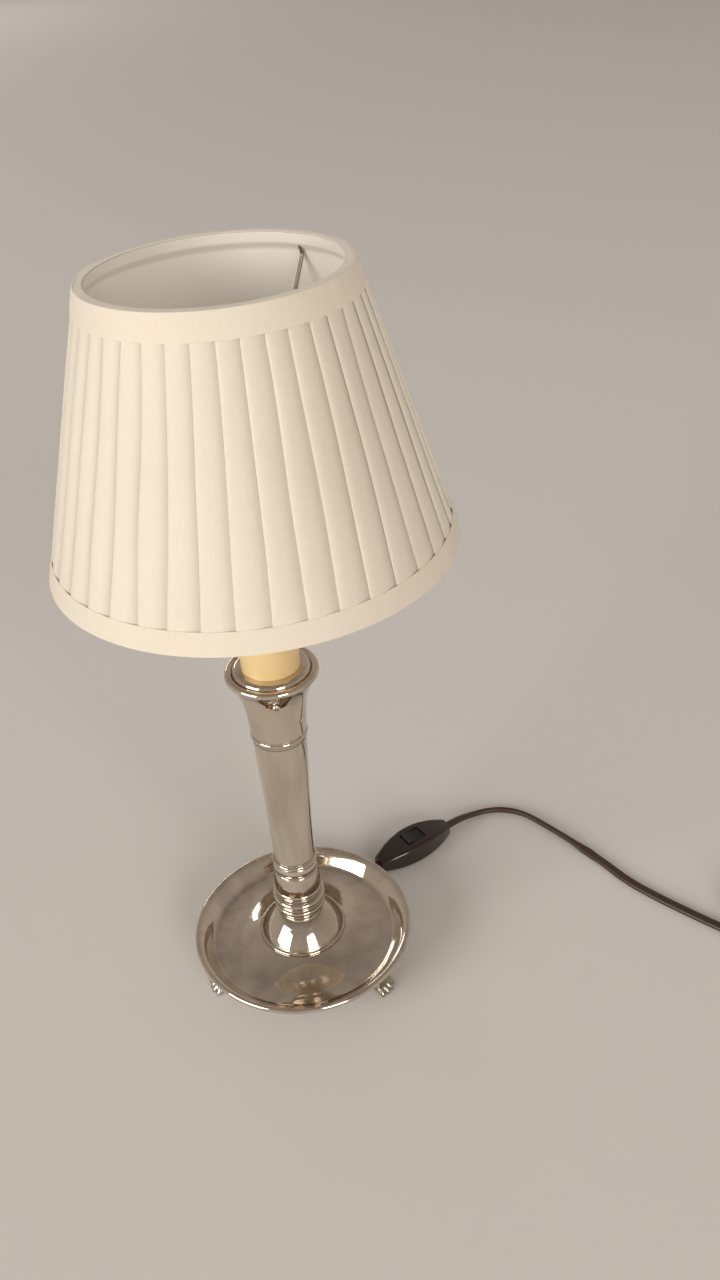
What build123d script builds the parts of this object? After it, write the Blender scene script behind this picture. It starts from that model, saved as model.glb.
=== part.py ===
from build123d import *
from math import cos, dist, pi, radians, sin, tan
import os

# Candlestick table lamp: a silver-plated dish on three paw feet, a turned stem, a candle tube
# with its lampholder and bulb, a pleated clip-on shade, and a flat flex with an inline rocker
# switch and a two-pin plug. Millimetres, +Z up, the table at z = 0 and the stem on the Z axis.

os.makedirs("parts", exist_ok=True)

# ---------------------------------------------------------------- driving dimensions
SHEET = 1.4                      # spun sheet of the dish
DISH_R = 70.0                    # outside of the rolled rim
DISH_FLOOR = 17.0                # top of the dish's flat floor
DISH_RIM_Z = 25.0                # middle of the rolled rim
RIM_ROLL = 2.0

FOOT_AZIMUTHS = (-41.0, 79.0, 199.0)
FOOT_R = 58.0                    # middle of the paw's heel
PAW_TOES = 4

DOME_FOOT_R = 31.0
DOME_BEAD_R = 26.2
DOME_TOP = 43.0
RINGS_TOP = 61.0                 # three stacked rings above the dome
KNOP_TOP = 78.0
COLUMN_BASE = 90.0
COLUMN_TOP = 184.0
COLLAR_TOP = 189.0
CUP_Z = 229.0                    # middle of the cup's rolled lip
CUP_R = 26.3                     # outside of the rolled lip
CUP_ROLL = 2.2
SEAT_TOP = 233.3                 # where the candle tube stands
STEM_BORE_R = 5.4                # clearance hole for the tie tube

TIE_R = 5.0                      # threaded tie tube, 10 mm outside
TIE_BORE_R = 4.0
TIE_BOTTOM = 9.0
TIE_TOP = 246.0

CANDLE_R = 16.4                  # 33 mm candle tube
CANDLE_WALL = 0.9
CANDLE_TOP = 325.0
HOLDER_R = 15.1
HOLDER_BASE = 237.3
HOLDER_TOP = 321.5
SHELL_R = 13.75                  # brass screw shell, outside
SHELL_WALL = 0.3
CAP_R = 13.2                     # E27 lamp cap over its thread
CAP_BASE = 296.0
GLASS_BASE = 322.5
GLASS_R = 17.5                   # 35 mm candle bulb
GLASS_BELLY = 348.0
GLASS_TIP = 402.0
GLASS_WALL = 0.8

SHADE_BOTTOM = 310.0             # lower edge of the shade, on the axis
SHADE_TALL = 139.7
SHADE_R_LOW = 104.6
SHADE_R_HIGH = 63.6
SHADE_LEAN = (-0.0207, 0.0171)   # the shade sits about 1.5 degrees off plumb on its clip
PLEATS = 40
PLEAT_DEPTH = 1.1
PLEAT_START = 244.4              # azimuth of one fold at the lower edge
PLEAT_TWIST = 4.5                # how far a fold has turned at the upper edge
TRIM_LOW = 11.0
TRIM_HIGH = 12.0
CLOTH = 0.6
RING_WIRE = 1.1                  # radius of the shade's ring wires
ARM_AZIMUTH = 47.5
ARM_WIRE = 1.0
CLIP_Z = 361.0
CLIP_R = 17.9                    # middle of the wire that hugs the bulb

SWITCH_AT = (85.3, 75.9)         # middle of the inline switch on the table
SWITCH_TURN = 27.9
SWITCH_LONG = 61.0
SWITCH_WIDE = 23.0
SWITCH_TALL = 16.0
SWITCH_SPLIT = 6.0               # height of the joint between its two shells
SWITCH_EYE = 6.6                 # height of the cord entries
WINDOW_LONG = 15.8
PIVOT_Z = 12.6                   # the rocker turns on a pin across the pod
PIN_REACH = 8.0
ROCKER_PIN_R = 1.0
ROCKER_WIDE = 10.6
ROCKER_TILT = 9.0

CORD_D = 6.3                     # the flex is an oval 6.3 mm wide
CORD_Z = CORD_D / 2 + 0.05
COIL_LIFT = 0.75                 # the coil lies on the strap that ties it
COIL_R = 45.0                    # outermost half turn, to the middle of the cord
COIL_PITCH = 6.95
COIL_TURNS_IN = 6                # half turns spiralling in on the table
COIL_HALF_TURNS = 12             # in all, with the one that climbs to the upper layer

PLUG_AT = (399.0, -60.0)         # where the cord meets the plug's strain relief
PLUG_TURN = 84.0
PLUG_RELIEF = 21.0
PLUG_LONG = 36.0
PLUG_WIDE = 35.3
PLUG_TALL = 13.7
PIN_R = 2.0
PIN_LONG = 19.0
PIN_SPACING = 18.6
PIN_ROOT = 4.0                   # how far a pin is moulded into the body
PIN_ROOT_R = 2.4


def save(builder, name):
    builder.part.label = name
    export_step(builder.part, f"parts/{name}.step")


def heading(angle):
    """Unit vector on the table at an azimuth in degrees."""
    return Vector(cos(radians(angle)), sin(radians(angle)), 0)


# ---------------------------------------------------------------- dish, feet and dome
with BuildPart() as base_dish:
    with BuildSketch(Plane.XZ):
        with BuildLine():
            top = FilletPolyline((STEM_BORE_R, DISH_FLOOR), (58.2, DISH_FLOOR),
                                 (63.6, 24.4), (67.4, 25.4), radius=(4.0, 2.6))
            Line(top @ 1, (67.4, 23.8))
            under = FilletPolyline((67.4, 23.8), (64.4, 23.1), (58.9, DISH_FLOOR - SHEET),
                                   (STEM_BORE_R, DISH_FLOOR - SHEET), radius=(3.6, 5.2))
            Line(under @ 1, top @ 0)
        make_face()
        with Locations((DISH_R - RIM_ROLL, DISH_RIM_Z)):
            Circle(RIM_ROLL)
    revolve(axis=Axis.Z)
save(base_dish, "base_dish")

# One paw is made facing +X and then turned to each of its three places.
HEEL_R = 5.2
with BuildPart() as paw:
    with BuildSketch(Plane.XY):
        with Locations((FOOT_R, 0)):
            Ellipse(HEEL_R + 1.0, HEEL_R)
    with BuildSketch(Plane.XY.offset(6.0)):
        with Locations((FOOT_R - 1.6, 0)):
            Ellipse(3.6, 3.2)
    with BuildSketch(Plane.XY.offset(DISH_FLOOR - SHEET)):
        with Locations((FOOT_R - 5.0, 0)):
            Ellipse(4.6, 5.4)
    loft()
    for toe in range(PAW_TOES):
        spread = (toe - (PAW_TOES - 1) / 2) * 19.0
        reach = heading(spread)
        knuckle = Vector(FOOT_R - 2.6, 0, 3.4) + reach * 7.4
        toe_plane = Plane(origin=knuckle, x_dir=reach * cos(0.42) - Vector(0, 0, sin(0.42)),
                          z_dir=heading(spread + 90))
        with BuildSketch(toe_plane):
            Ellipse(5.0, 2.1)
            Rectangle(12, 6, align=(Align.CENTER, Align.MIN), mode=Mode.SUBTRACT)
        revolve(axis=Axis(toe_plane.origin, toe_plane.x_dir))
    split(bisect_by=Plane.XY, keep=Keep.TOP)
with BuildPart() as paw_feet:
    for azimuth in FOOT_AZIMUTHS:
        add(paw.part.rotate(Axis.Z, azimuth))
save(paw_feet, "paw_feet")

with BuildPart() as base_dome:
    with BuildSketch(Plane.XZ):
        with BuildLine():
            Line((STEM_BORE_R, DOME_TOP), (13.2, DOME_TOP))
            ThreePointArc((13.2, DOME_TOP), (21.6, 36.4), (DOME_BEAD_R, 26.4))
            Line((DOME_BEAD_R, 26.4), (DOME_BEAD_R, 24.4))
            ThreePointArc((DOME_BEAD_R, 24.4), (27.8, 19.7), (DOME_FOOT_R, 17.8))
            Line((DOME_FOOT_R, 17.8), (DOME_FOOT_R, DISH_FLOOR))
            Line((DOME_FOOT_R, DISH_FLOOR), (25.6, DISH_FLOOR))
            Line((25.6, DISH_FLOOR), (24.4, 26.2))
            ThreePointArc((24.4, 26.2), (20.2, 34.9), (12.6, DOME_TOP - 2.0))
            Line((12.6, DOME_TOP - 2.0), (STEM_BORE_R, DOME_TOP - 2.0))
            Line((STEM_BORE_R, DOME_TOP - 2.0), (STEM_BORE_R, DOME_TOP))
        make_face()
        with Locations((DOME_BEAD_R, 25.4)):
            Circle(1.4)
    revolve(axis=Axis.Z)
save(base_dome, "base_dome")


# ---------------------------------------------------------------- turned stem
def ring_of(outline, beads=()):
    """Turn a closed outline of (radius, height) points about Z, with round beads on it."""
    with BuildPart() as ring:
        with BuildSketch(Plane.XZ):
            with BuildLine():
                Polyline(*outline, close=True)
            make_face()
            for radius, height, roll in beads:
                with Locations((radius, height)):
                    Circle(roll)
        revolve(axis=Axis.Z)
    return ring


stem_rings = ring_of(((STEM_BORE_R, DOME_TOP), (12.8, DOME_TOP), (12.8, 45.6), (13.6, 46.4),
                      (13.6, 58.6), (12.9, 59.6), (13.1, RINGS_TOP), (STEM_BORE_R, RINGS_TOP)),
                     beads=((13.3, 47.6, 2.1), (13.3, 52.2, 2.1), (12.9, 56.8, 2.0)))
save(stem_rings, "stem_rings")

with BuildPart() as stem_knop:
    with BuildSketch(Plane.XZ):
        with BuildLine():
            Line((STEM_BORE_R, RINGS_TOP), (13.2, RINGS_TOP))
            ThreePointArc((13.2, RINGS_TOP), (14.2, 61.9), (14.5, 63.4))
            ThreePointArc((14.5, 63.4), (14.4, 69.5), (13.7, 76.4))
            Line((13.7, 76.4), (12.9, KNOP_TOP))
            Line((12.9, KNOP_TOP), (STEM_BORE_R, KNOP_TOP))
            Line((STEM_BORE_R, KNOP_TOP), (STEM_BORE_R, RINGS_TOP))
        make_face()
    revolve(axis=Axis.Z)
save(stem_knop, "stem_knop")

stem_band = ring_of(((STEM_BORE_R, KNOP_TOP), (12.8, KNOP_TOP), (12.8, COLUMN_BASE),
                     (STEM_BORE_R, COLUMN_BASE)),
                    beads=((12.5, 80.2, 1.6), (12.5, 87.9, 1.5)))
save(stem_band, "stem_band")

COLUMN_WALL = 1.6
column_swell = ((12.6, COLUMN_BASE), (12.9, 112.0), (13.9, 140.0), (14.8, 163.0), (15.7, COLUMN_TOP))
with BuildPart() as column:
    with BuildSketch(Plane.XZ):
        with BuildLine():
            outside = Spline(*column_swell)
            inside = Spline(*[(r - COLUMN_WALL, z) for r, z in reversed(column_swell)])
            Line(outside @ 1, inside @ 0)
            Line(inside @ 1, outside @ 0)
        make_face()
    revolve(axis=Axis.Z)
    # a web at each end centres the column on the tie tube
    for web_z, web_r in ((COLUMN_BASE, 12.0), (COLUMN_TOP - 3.0, 15.0)):
        with BuildSketch(Plane.XY.offset(web_z)):
            Circle(web_r)
            Circle(STEM_BORE_R, mode=Mode.SUBTRACT)
        extrude(amount=3.0)
save(column, "column")

collar = ring_of(((STEM_BORE_R, COLUMN_TOP), (15.6, COLUMN_TOP), (15.6, COLLAR_TOP),
                  (STEM_BORE_R, COLLAR_TOP)),
                 beads=((15.0, 187.0, 1.5), (15.4, 184.9, 0.8)))
save(collar, "collar")

NECK_SCREW_R = 1.25
NECK_SLOPE = radians(20.0)       # the flared wall leans out this much at the screw
neck_plane = Plane(origin=(0, -21.25, 219.0), x_dir=(1, 0, 0),
                   z_dir=(0, -cos(NECK_SLOPE), -sin(NECK_SLOPE)))
with BuildPart() as nozzle_cup:
    with BuildSketch(Plane.XZ):
        with BuildLine():
            Line((16.1, COLLAR_TOP), (16.8, 199.0))
            ThreePointArc((16.8, 199.0), (18.9, 211.0), (25.0, 227.4))
            Line((25.0, 227.4), (23.2, 229.6))
            ThreePointArc((23.2, 229.6), (17.2, 211.4), (15.2, 199.0))
            Line((15.2, 199.0), (14.6, 191.0))
            Line((14.6, 191.0), (STEM_BORE_R, 191.0))
            Line((STEM_BORE_R, 191.0), (STEM_BORE_R, COLLAR_TOP))
            Line((STEM_BORE_R, COLLAR_TOP), (16.1, COLLAR_TOP))
        make_face()
        with Locations((CUP_R - CUP_ROLL, CUP_Z)):
            Circle(CUP_ROLL)
    revolve(axis=Axis.Z)
    # tapped hole for the small screw under the lip, square to the flared wall
    with BuildSketch(neck_plane.offset(-4.0)):
        Circle(NECK_SCREW_R)
    extrude(amount=8.0, mode=Mode.SUBTRACT)
save(nozzle_cup, "nozzle_cup")

with BuildPart() as neck_screw:
    with BuildSketch(neck_plane.offset(-2.4)):
        Circle(NECK_SCREW_R - 0.02)
    extrude(amount=2.7)
    with BuildSketch(neck_plane.offset(0.3)):
        Circle(NECK_SCREW_R + 0.9)
    extrude(amount=1.2)
    fillet(neck_screw.faces().sort_by(Axis.Y)[0].edges(), radius=0.8)
save(neck_screw, "neck_screw")

with BuildPart() as candle_seat:
    with BuildSketch(Plane.XZ):
        with BuildLine():
            Line((STEM_BORE_R, SEAT_TOP), (17.3, SEAT_TOP))
            ThreePointArc((17.3, SEAT_TOP), (19.4, 232.3), (21.2, 229.9))
            Line((21.2, 229.9), (20.6, 228.6))
            Line((20.6, 228.6), (17.0, SEAT_TOP - 1.5))
            Line((17.0, SEAT_TOP - 1.5), (STEM_BORE_R, SEAT_TOP - 1.5))
            Line((STEM_BORE_R, SEAT_TOP - 1.5), (STEM_BORE_R, SEAT_TOP))
        make_face()
    revolve(axis=Axis.Z)
save(candle_seat, "candle_seat")

# ---------------------------------------------------------------- tie tube and its fixings
with BuildPart() as tie_tube:
    with BuildSketch(Plane.XY.offset(TIE_BOTTOM)):
        Circle(TIE_R)
        Circle(TIE_BORE_R, mode=Mode.SUBTRACT)
    extrude(amount=TIE_TOP - TIE_BOTTOM)
    chamfer(tie_tube.edges().filter_by(GeomType.CIRCLE), length=0.4)
save(tie_tube, "tie_tube")

PLATE_T = 1.5
PLATE_BOTTOM = DISH_FLOOR - SHEET - PLATE_T
GRIP_AZIMUTH = 57.0
GRIP_SCREWS = [heading(GRIP_AZIMUTH) * 21.5 + heading(GRIP_AZIMUTH + 90) * side for side in (-6.4, 6.4)]
with BuildPart() as clamp_plate:
    with BuildSketch(Plane.XY.offset(PLATE_BOTTOM)):
        Circle(32.0)
        Circle(TIE_R + 0.1, mode=Mode.SUBTRACT)
        with Locations(*[(p.X, p.Y) for p in GRIP_SCREWS]):
            Circle(1.2, mode=Mode.SUBTRACT)
    extrude(amount=PLATE_T)
save(clamp_plate, "clamp_plate")

NUT_FLATS = 14.0


def hex_nut(base_z, height):
    with BuildPart() as nut:
        with BuildSketch(Plane.XY.offset(base_z)):
            RegularPolygon(NUT_FLATS / 2, 6, major_radius=False)
            Circle(TIE_R + 0.05, mode=Mode.SUBTRACT)
        extrude(amount=height)
        chamfer(nut.edges().filter_by(Plane.XY).filter_by(GeomType.LINE), length=0.6)
    return nut


lower_nut = hex_nut(PLATE_BOTTOM - 4.0, 4.0)
save(lower_nut, "lower_nut")
upper_nut = hex_nut(SEAT_TOP, HOLDER_BASE - SEAT_TOP)
save(upper_nut, "upper_nut")

# Cord grip: a moulded block under the plate, with a bar that two screws pull up onto the flex.
GRIP_Z = 9.0
grip_plane = Plane(origin=(0, 0, PLATE_BOTTOM), x_dir=heading(GRIP_AZIMUTH), z_dir=(0, 0, 1))
with BuildPart() as cord_grip:
    with BuildSketch(grip_plane.offset(-6.0)):
        with Locations((21.5, 0)):
            RectangleRounded(14.0, 18.0, 2.5)
    extrude(amount=6.0)
    with BuildSketch(Plane(origin=(0, 0, GRIP_Z), x_dir=(0, 0, 1), z_dir=heading(GRIP_AZIMUTH))):
        Circle(CORD_D / 2 + 0.02)
    extrude(amount=40.0, mode=Mode.SUBTRACT)
    with Locations(*[(p.X, p.Y, PLATE_BOTTOM) for p in GRIP_SCREWS]):
        Hole(1.2, depth=6.0)
save(cord_grip, "cord_grip")

BAR_TOP = PLATE_BOTTOM - 6.0 - 0.6
with BuildPart() as grip_bar:
    with BuildSketch(grip_plane.offset(BAR_TOP - PLATE_BOTTOM)):
        with Locations((21.5, 0)):
            RectangleRounded(7.0, 18.0, 2.0)
    extrude(amount=-3.0)
    with BuildSketch(Plane(origin=(0, 0, GRIP_Z), x_dir=(0, 0, 1), z_dir=heading(GRIP_AZIMUTH))):
        Circle(CORD_D / 2 + 0.02)
    extrude(amount=40.0, mode=Mode.SUBTRACT)
    with Locations(*[(p.X, p.Y, BAR_TOP) for p in GRIP_SCREWS]):
        Hole(1.3, depth=3.0)
save(grip_bar, "grip_bar")

with BuildPart() as grip_screws:
    for place in GRIP_SCREWS:
        with BuildSketch(Plane.XY.offset(BAR_TOP - 3.0)):
            with Locations((place.X, place.Y)):
                Circle(1.15)
        extrude(amount=PLATE_BOTTOM + PLATE_T - (BAR_TOP - 3.0))
        with BuildSketch(Plane.XY.offset(BAR_TOP - 3.0)):
            with Locations((place.X, place.Y)):
                Circle(2.2)
        extrude(amount=-1.3)
save(grip_screws, "grip_screws")

# ---------------------------------------------------------------- candle tube, lampholder, bulb
with BuildPart() as candle_tube:
    with BuildSketch(Plane.XY.offset(SEAT_TOP)):
        Circle(CANDLE_R)
        Circle(CANDLE_R - CANDLE_WALL, mode=Mode.SUBTRACT)
    extrude(amount=CANDLE_TOP - SEAT_TOP)
    fillet(candle_tube.edges().group_by(Axis.Z)[-1], radius=0.35)
save(candle_tube, "candle_tube")

SOCKET_FLOOR = 262.0
TERMINAL_Z = 256.5
TERMINAL_R = 1.9
with BuildPart() as holder_body:
    with BuildSketch(Plane.XZ):
        with BuildLine():
            Polyline((TIE_R + 0.05, HOLDER_BASE), (9.0, HOLDER_BASE), (9.0, 245.5),
                     (12.5, 250.0), (HOLDER_R, 254.0), (HOLDER_R, HOLDER_TOP),
                     (SHELL_R + 0.05, HOLDER_TOP), (SHELL_R + 0.05, SOCKET_FLOOR),
                     (6.2, SOCKET_FLOOR), (6.2, 250.0), (TIE_R + 0.05, 247.0), close=True)
        make_face()
    revolve(axis=Axis.Z)
    with BuildSketch(Plane(origin=(0, 0, TERMINAL_Z), x_dir=(1, 0, 0), z_dir=(0, 1, 0))):
        Circle(TERMINAL_R + 0.02)
    extrude(amount=HOLDER_R + 1.0, both=True, mode=Mode.SUBTRACT)
save(holder_body, "holder_body")

with BuildPart() as screw_shell:
    with BuildSketch(Plane.XZ):
        with BuildLine():
            Polyline((7.0, SOCKET_FLOOR), (SHELL_R, SOCKET_FLOOR), (SHELL_R, 314.0),
                     (SHELL_R - SHELL_WALL, 314.0), (SHELL_R - SHELL_WALL, SOCKET_FLOOR + 0.6),
                     (7.0, SOCKET_FLOOR + 0.6), close=True)
        make_face()
    revolve(axis=Axis.Z)
save(screw_shell, "screw_shell")

# Spring leaf that the bulb's centre contact presses on, standing on the insulating disc.
with BuildPart() as contact_disc:
    with BuildSketch(Plane.XY.offset(SOCKET_FLOOR + 0.6)):
        Circle(11.0)
    extrude(amount=3.4)
    fillet(contact_disc.edges().group_by(Axis.Z)[-1], radius=0.8)
save(contact_disc, "contact_disc")

LEAF_BASE = SOCKET_FLOOR + 4.0
LEAF_TOP = CAP_BASE - 1.9
with BuildPart() as centre_leaf:
    with BuildSketch(Plane.XZ):
        with BuildLine():
            Polyline((-5.0, LEAF_BASE), (5.0, LEAF_BASE), (5.0, LEAF_BASE + 0.8),
                     (-3.0, LEAF_BASE + 0.8), (2.6, LEAF_TOP - 0.8), (5.0, LEAF_TOP - 0.8),
                     (5.0, LEAF_TOP), (2.0, LEAF_TOP), (-5.0, LEAF_BASE + 1.0), close=True)
        make_face()
    extrude(amount=2.0, both=True)
save(centre_leaf, "centre_leaf")

with BuildPart() as terminal_screws:
    for side in (-1, 1):
        with BuildSketch(Plane(origin=(0, 10.4 * side, TERMINAL_Z), x_dir=(1, 0, 0), z_dir=(0, side, 0))):
            Circle(TERMINAL_R)
        extrude(amount=-3.6)
save(terminal_screws, "terminal_screws")

with BuildPart() as bulb_button:
    with BuildSketch(Plane.XZ):
        with BuildLine():
            Line((0, CAP_BASE - 1.8), (3.4, CAP_BASE - 1.8))
            ThreePointArc((3.4, CAP_BASE - 1.8), (4.5, CAP_BASE - 1.2), (4.8, CAP_BASE - 0.1))
            Line((4.8, CAP_BASE - 0.1), (0, CAP_BASE - 0.1))
            Line((0, CAP_BASE - 0.1), (0, CAP_BASE - 1.8))
        make_face()
    revolve(axis=Axis.Z)
save(bulb_button, "bulb_button")

with BuildPart() as bulb_cap:
    with BuildSketch(Plane.XZ):
        with BuildLine():
            Polyline((0, CAP_BASE), (8.5, CAP_BASE), (11.4, CAP_BASE + 3.6), (CAP_R, CAP_BASE + 4.6),
                     (CAP_R, GLASS_BASE), (CAP_R - 0.6, GLASS_BASE), (CAP_R - 0.6, CAP_BASE + 6.0),
                     (0, CAP_BASE + 6.0), close=True)
        make_face()
    revolve(axis=Axis.Z)
save(bulb_cap, "bulb_cap")

SKIRT_R = 12.5                   # the glass is cemented this far inside the cap's rim
SHOULDER_Z = 366.0
FLAME_Z = 390.0
with BuildPart() as bulb_glass:
    with BuildSketch(Plane.XZ):
        with BuildLine():
            ThreePointArc((SKIRT_R, GLASS_BASE), (16.1, 334.6), (GLASS_R, GLASS_BELLY))
            ThreePointArc((GLASS_R, GLASS_BELLY), (17.1, 357.2), (15.9, SHOULDER_Z))
            ThreePointArc((15.9, SHOULDER_Z), (12.6, 379.2), (7.6, FLAME_Z))
            Spline((7.6, FLAME_Z), (4.7, 396.8), (0, GLASS_TIP), tangents=((-0.5, 1), (-1, 0.35)))
            Line((0, GLASS_TIP), (0, GLASS_TIP - 1.4))
            Spline((0, GLASS_TIP - 1.4), (4.0, 395.9), (6.8, FLAME_Z - 0.5),
                   tangents=((1, -0.35), (0.5, -1)))
            ThreePointArc((6.8, FLAME_Z - 0.5), (11.8, 378.9), (15.1, SHOULDER_Z))
            ThreePointArc((15.1, SHOULDER_Z), (16.3, 357.1), (GLASS_R - GLASS_WALL, GLASS_BELLY))
            ThreePointArc((GLASS_R - GLASS_WALL, GLASS_BELLY), (15.3, 334.7),
                          (SKIRT_R - GLASS_WALL, GLASS_BASE))
            Polyline((SKIRT_R - GLASS_WALL, GLASS_BASE), (SKIRT_R - GLASS_WALL, GLASS_BASE - 2.0),
                     (SKIRT_R, GLASS_BASE - 2.0), (SKIRT_R, GLASS_BASE))
        make_face()
    revolve(axis=Axis.Z)
save(bulb_glass, "bulb_glass")

# ---------------------------------------------------------------- shade
lean_x, lean_y = SHADE_LEAN
shade_plane = Plane(origin=(0, 0, SHADE_BOTTOM), x_dir=(1, 0, -lean_x), z_dir=(lean_x, lean_y, 1))
shade_section = Plane(origin=shade_plane.origin, x_dir=shade_plane.x_dir, z_dir=-shade_plane.y_dir)
shade_axis = Axis(shade_plane.origin, shade_plane.z_dir)
SLOPE = (SHADE_R_HIGH - SHADE_R_LOW) / SHADE_TALL


def cone_r(height, inset=0.0):
    """Radius of the shade's outer cone at a height above its lower edge, less an inset."""
    return SHADE_R_LOW + SLOPE * height - inset


# insets of the layers, from the trim inwards
COVER_OUT = CLOTH + 0.1
COVER_IN = COVER_OUT + PLEAT_DEPTH + 0.4
LINING_OUT = COVER_IN + 0.1
LINING_IN = LINING_OUT + 0.5
WIRE_IN = LINING_IN + 0.15 + RING_WIRE
TRIM_IN = WIRE_IN + RING_WIRE + 0.15
EDGE = 1.0                       # the cover and lining stop this far inside the trim's fold


def cone_shell(low, high, outer, inner):
    """A conical layer between two heights, given by its two insets."""
    with BuildPart() as shell:
        with BuildSketch(shade_section):
            with BuildLine():
                Polyline((cone_r(low, outer), low), (cone_r(high, outer), high),
                         (cone_r(high, inner), high), (cone_r(low, inner), low), close=True)
            make_face()
        revolve(axis=shade_axis)
    return shell


shade_lining = cone_shell(EDGE, SHADE_TALL - EDGE, LINING_OUT, LINING_IN)
save(shade_lining, "shade_lining")


def pleated_outline(height, turn):
    """Closed outline of knife pleats: each fold stands proud and runs down to the next."""
    step = 360.0 / PLEATS
    points = []
    for pleat in range(PLEATS):
        fold = PLEAT_START + turn + pleat * step
        crest = heading(fold) * cone_r(height, COVER_OUT)
        root = heading(fold + step * 0.96) * cone_r(height, COVER_OUT + PLEAT_DEPTH)
        points += [(crest.X, crest.Y), (root.X, root.Y)]
    return points


COVER_BANDS = 6                  # the folds turn a little from each outline to the next
with BuildPart() as pleated_cover:
    for band in range(COVER_BANDS + 1):
        height = EDGE + (SHADE_TALL - 2 * EDGE) * band / COVER_BANDS
        with BuildSketch(shade_plane.offset(height)):
            with BuildLine():
                Polyline(*pleated_outline(height, PLEAT_TWIST * band / COVER_BANDS), close=True)
            make_face()
    loft(ruled=True)
    # the inside is flat behind each half pleat
    for height in (EDGE, SHADE_TALL - EDGE):
        with BuildSketch(shade_plane.offset(height)):
            RegularPolygon(cone_r(height, COVER_IN), 2 * PLEATS, major_radius=False)
    loft(ruled=True, mode=Mode.SUBTRACT)
save(pleated_cover, "pleated_cover")


def edge_trim(edge, reach, tuck):
    """Cloth band folded over one edge of the shade: outer leg, fold and inner leg."""
    inward = 1 if edge == 0 else -1
    fold = edge + inward * 0.8
    outer = edge + inward * reach
    inner = edge + inward * tuck
    with BuildPart() as trim:
        with BuildSketch(shade_section):
            with BuildLine():
                Polyline((cone_r(edge), edge), (cone_r(outer), outer),
                         (cone_r(outer, CLOTH), outer), (cone_r(fold, CLOTH), fold),
                         (cone_r(fold, TRIM_IN), fold), (cone_r(inner, TRIM_IN), inner),
                         (cone_r(inner, TRIM_IN + 0.4), inner), (cone_r(edge, TRIM_IN + 0.4), edge),
                         close=True)
            make_face()
        revolve(axis=shade_axis)
    return trim


lower_trim = edge_trim(0.0, TRIM_LOW, 7.0)
save(lower_trim, "lower_trim")
upper_trim = edge_trim(SHADE_TALL, TRIM_HIGH, 6.0)
save(upper_trim, "upper_trim")

WIRE_UP = RING_WIRE + 0.95


def wire_ring(height):
    with BuildPart() as ring:
        with BuildSketch(shade_section):
            with Locations((cone_r(height, WIRE_IN), height)):
                Circle(RING_WIRE)
        revolve(axis=shade_axis)
    return ring


lower_ring = wire_ring(WIRE_UP)
save(lower_ring, "lower_ring")
upper_ring = wire_ring(SHADE_TALL - WIRE_UP)
save(upper_ring, "upper_ring")


def wire_along(path, radius):
    """Sweep a round wire along a path made in a BuildLine."""
    start = Plane(origin=path @ 0, z_dir=path % 0)
    with BuildSketch(start) as section:
        Circle(radius)
    return sweep(section.sketch, path=path, mode=Mode.PRIVATE)


# Two wire arms drop from the upper ring to a spring clip that hugs the bulb.
RING_UP = SHADE_TALL - WIRE_UP
ARM_BEND = RING_UP - 9.0         # the arm runs down inside the trim before it turns inwards
with BuildPart() as fitter_arms:
    for azimuth in (ARM_AZIMUTH, ARM_AZIMUTH + 180):
        out = heading(azimuth)
        hook, bend = [shade_plane.from_local_coords(out * cone_r(up, WIRE_IN) + Vector(0, 0, up))
                      for up in (RING_UP, ARM_BEND)]
        foot = out * (CLIP_R + ARM_WIRE * 0.8) + Vector(0, 0, CLIP_Z)
        with BuildLine() as arm_line:
            FilletPolyline(hook, bend, foot + out * 3.0 + Vector(0, 0, 8.0), foot, radius=(3.0, 6.0))
        add(wire_along(arm_line.wires()[0], ARM_WIRE))
save(fitter_arms, "fitter_arms")

with BuildPart() as bulb_clip:
    for azimuth in (ARM_AZIMUTH, ARM_AZIMUTH + 180):
        at = [heading(azimuth + turn) * CLIP_R + Vector(0, 0, CLIP_Z) for turn in (-72, 0, 72)]
        with BuildLine() as clip_line:
            hug = ThreePointArc(*at)
            JernArc(start=hug @ 1, tangent=hug % 1, radius=3.0, arc_size=-100)
        add(wire_along(clip_line.wires()[0], 0.9))
save(bulb_clip, "bulb_clip")

# ---------------------------------------------------------------- inline switch
along = heading(SWITCH_TURN)
across = heading(SWITCH_TURN + 90)
switch_plane = Plane(origin=(*SWITCH_AT, 0), x_dir=along, z_dir=(0, 0, 1))
switch_side = Plane(origin=(*SWITCH_AT, 0), x_dir=along, z_dir=-across)
END_WIDE = 9.4
HALF = SWITCH_LONG / 2


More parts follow.
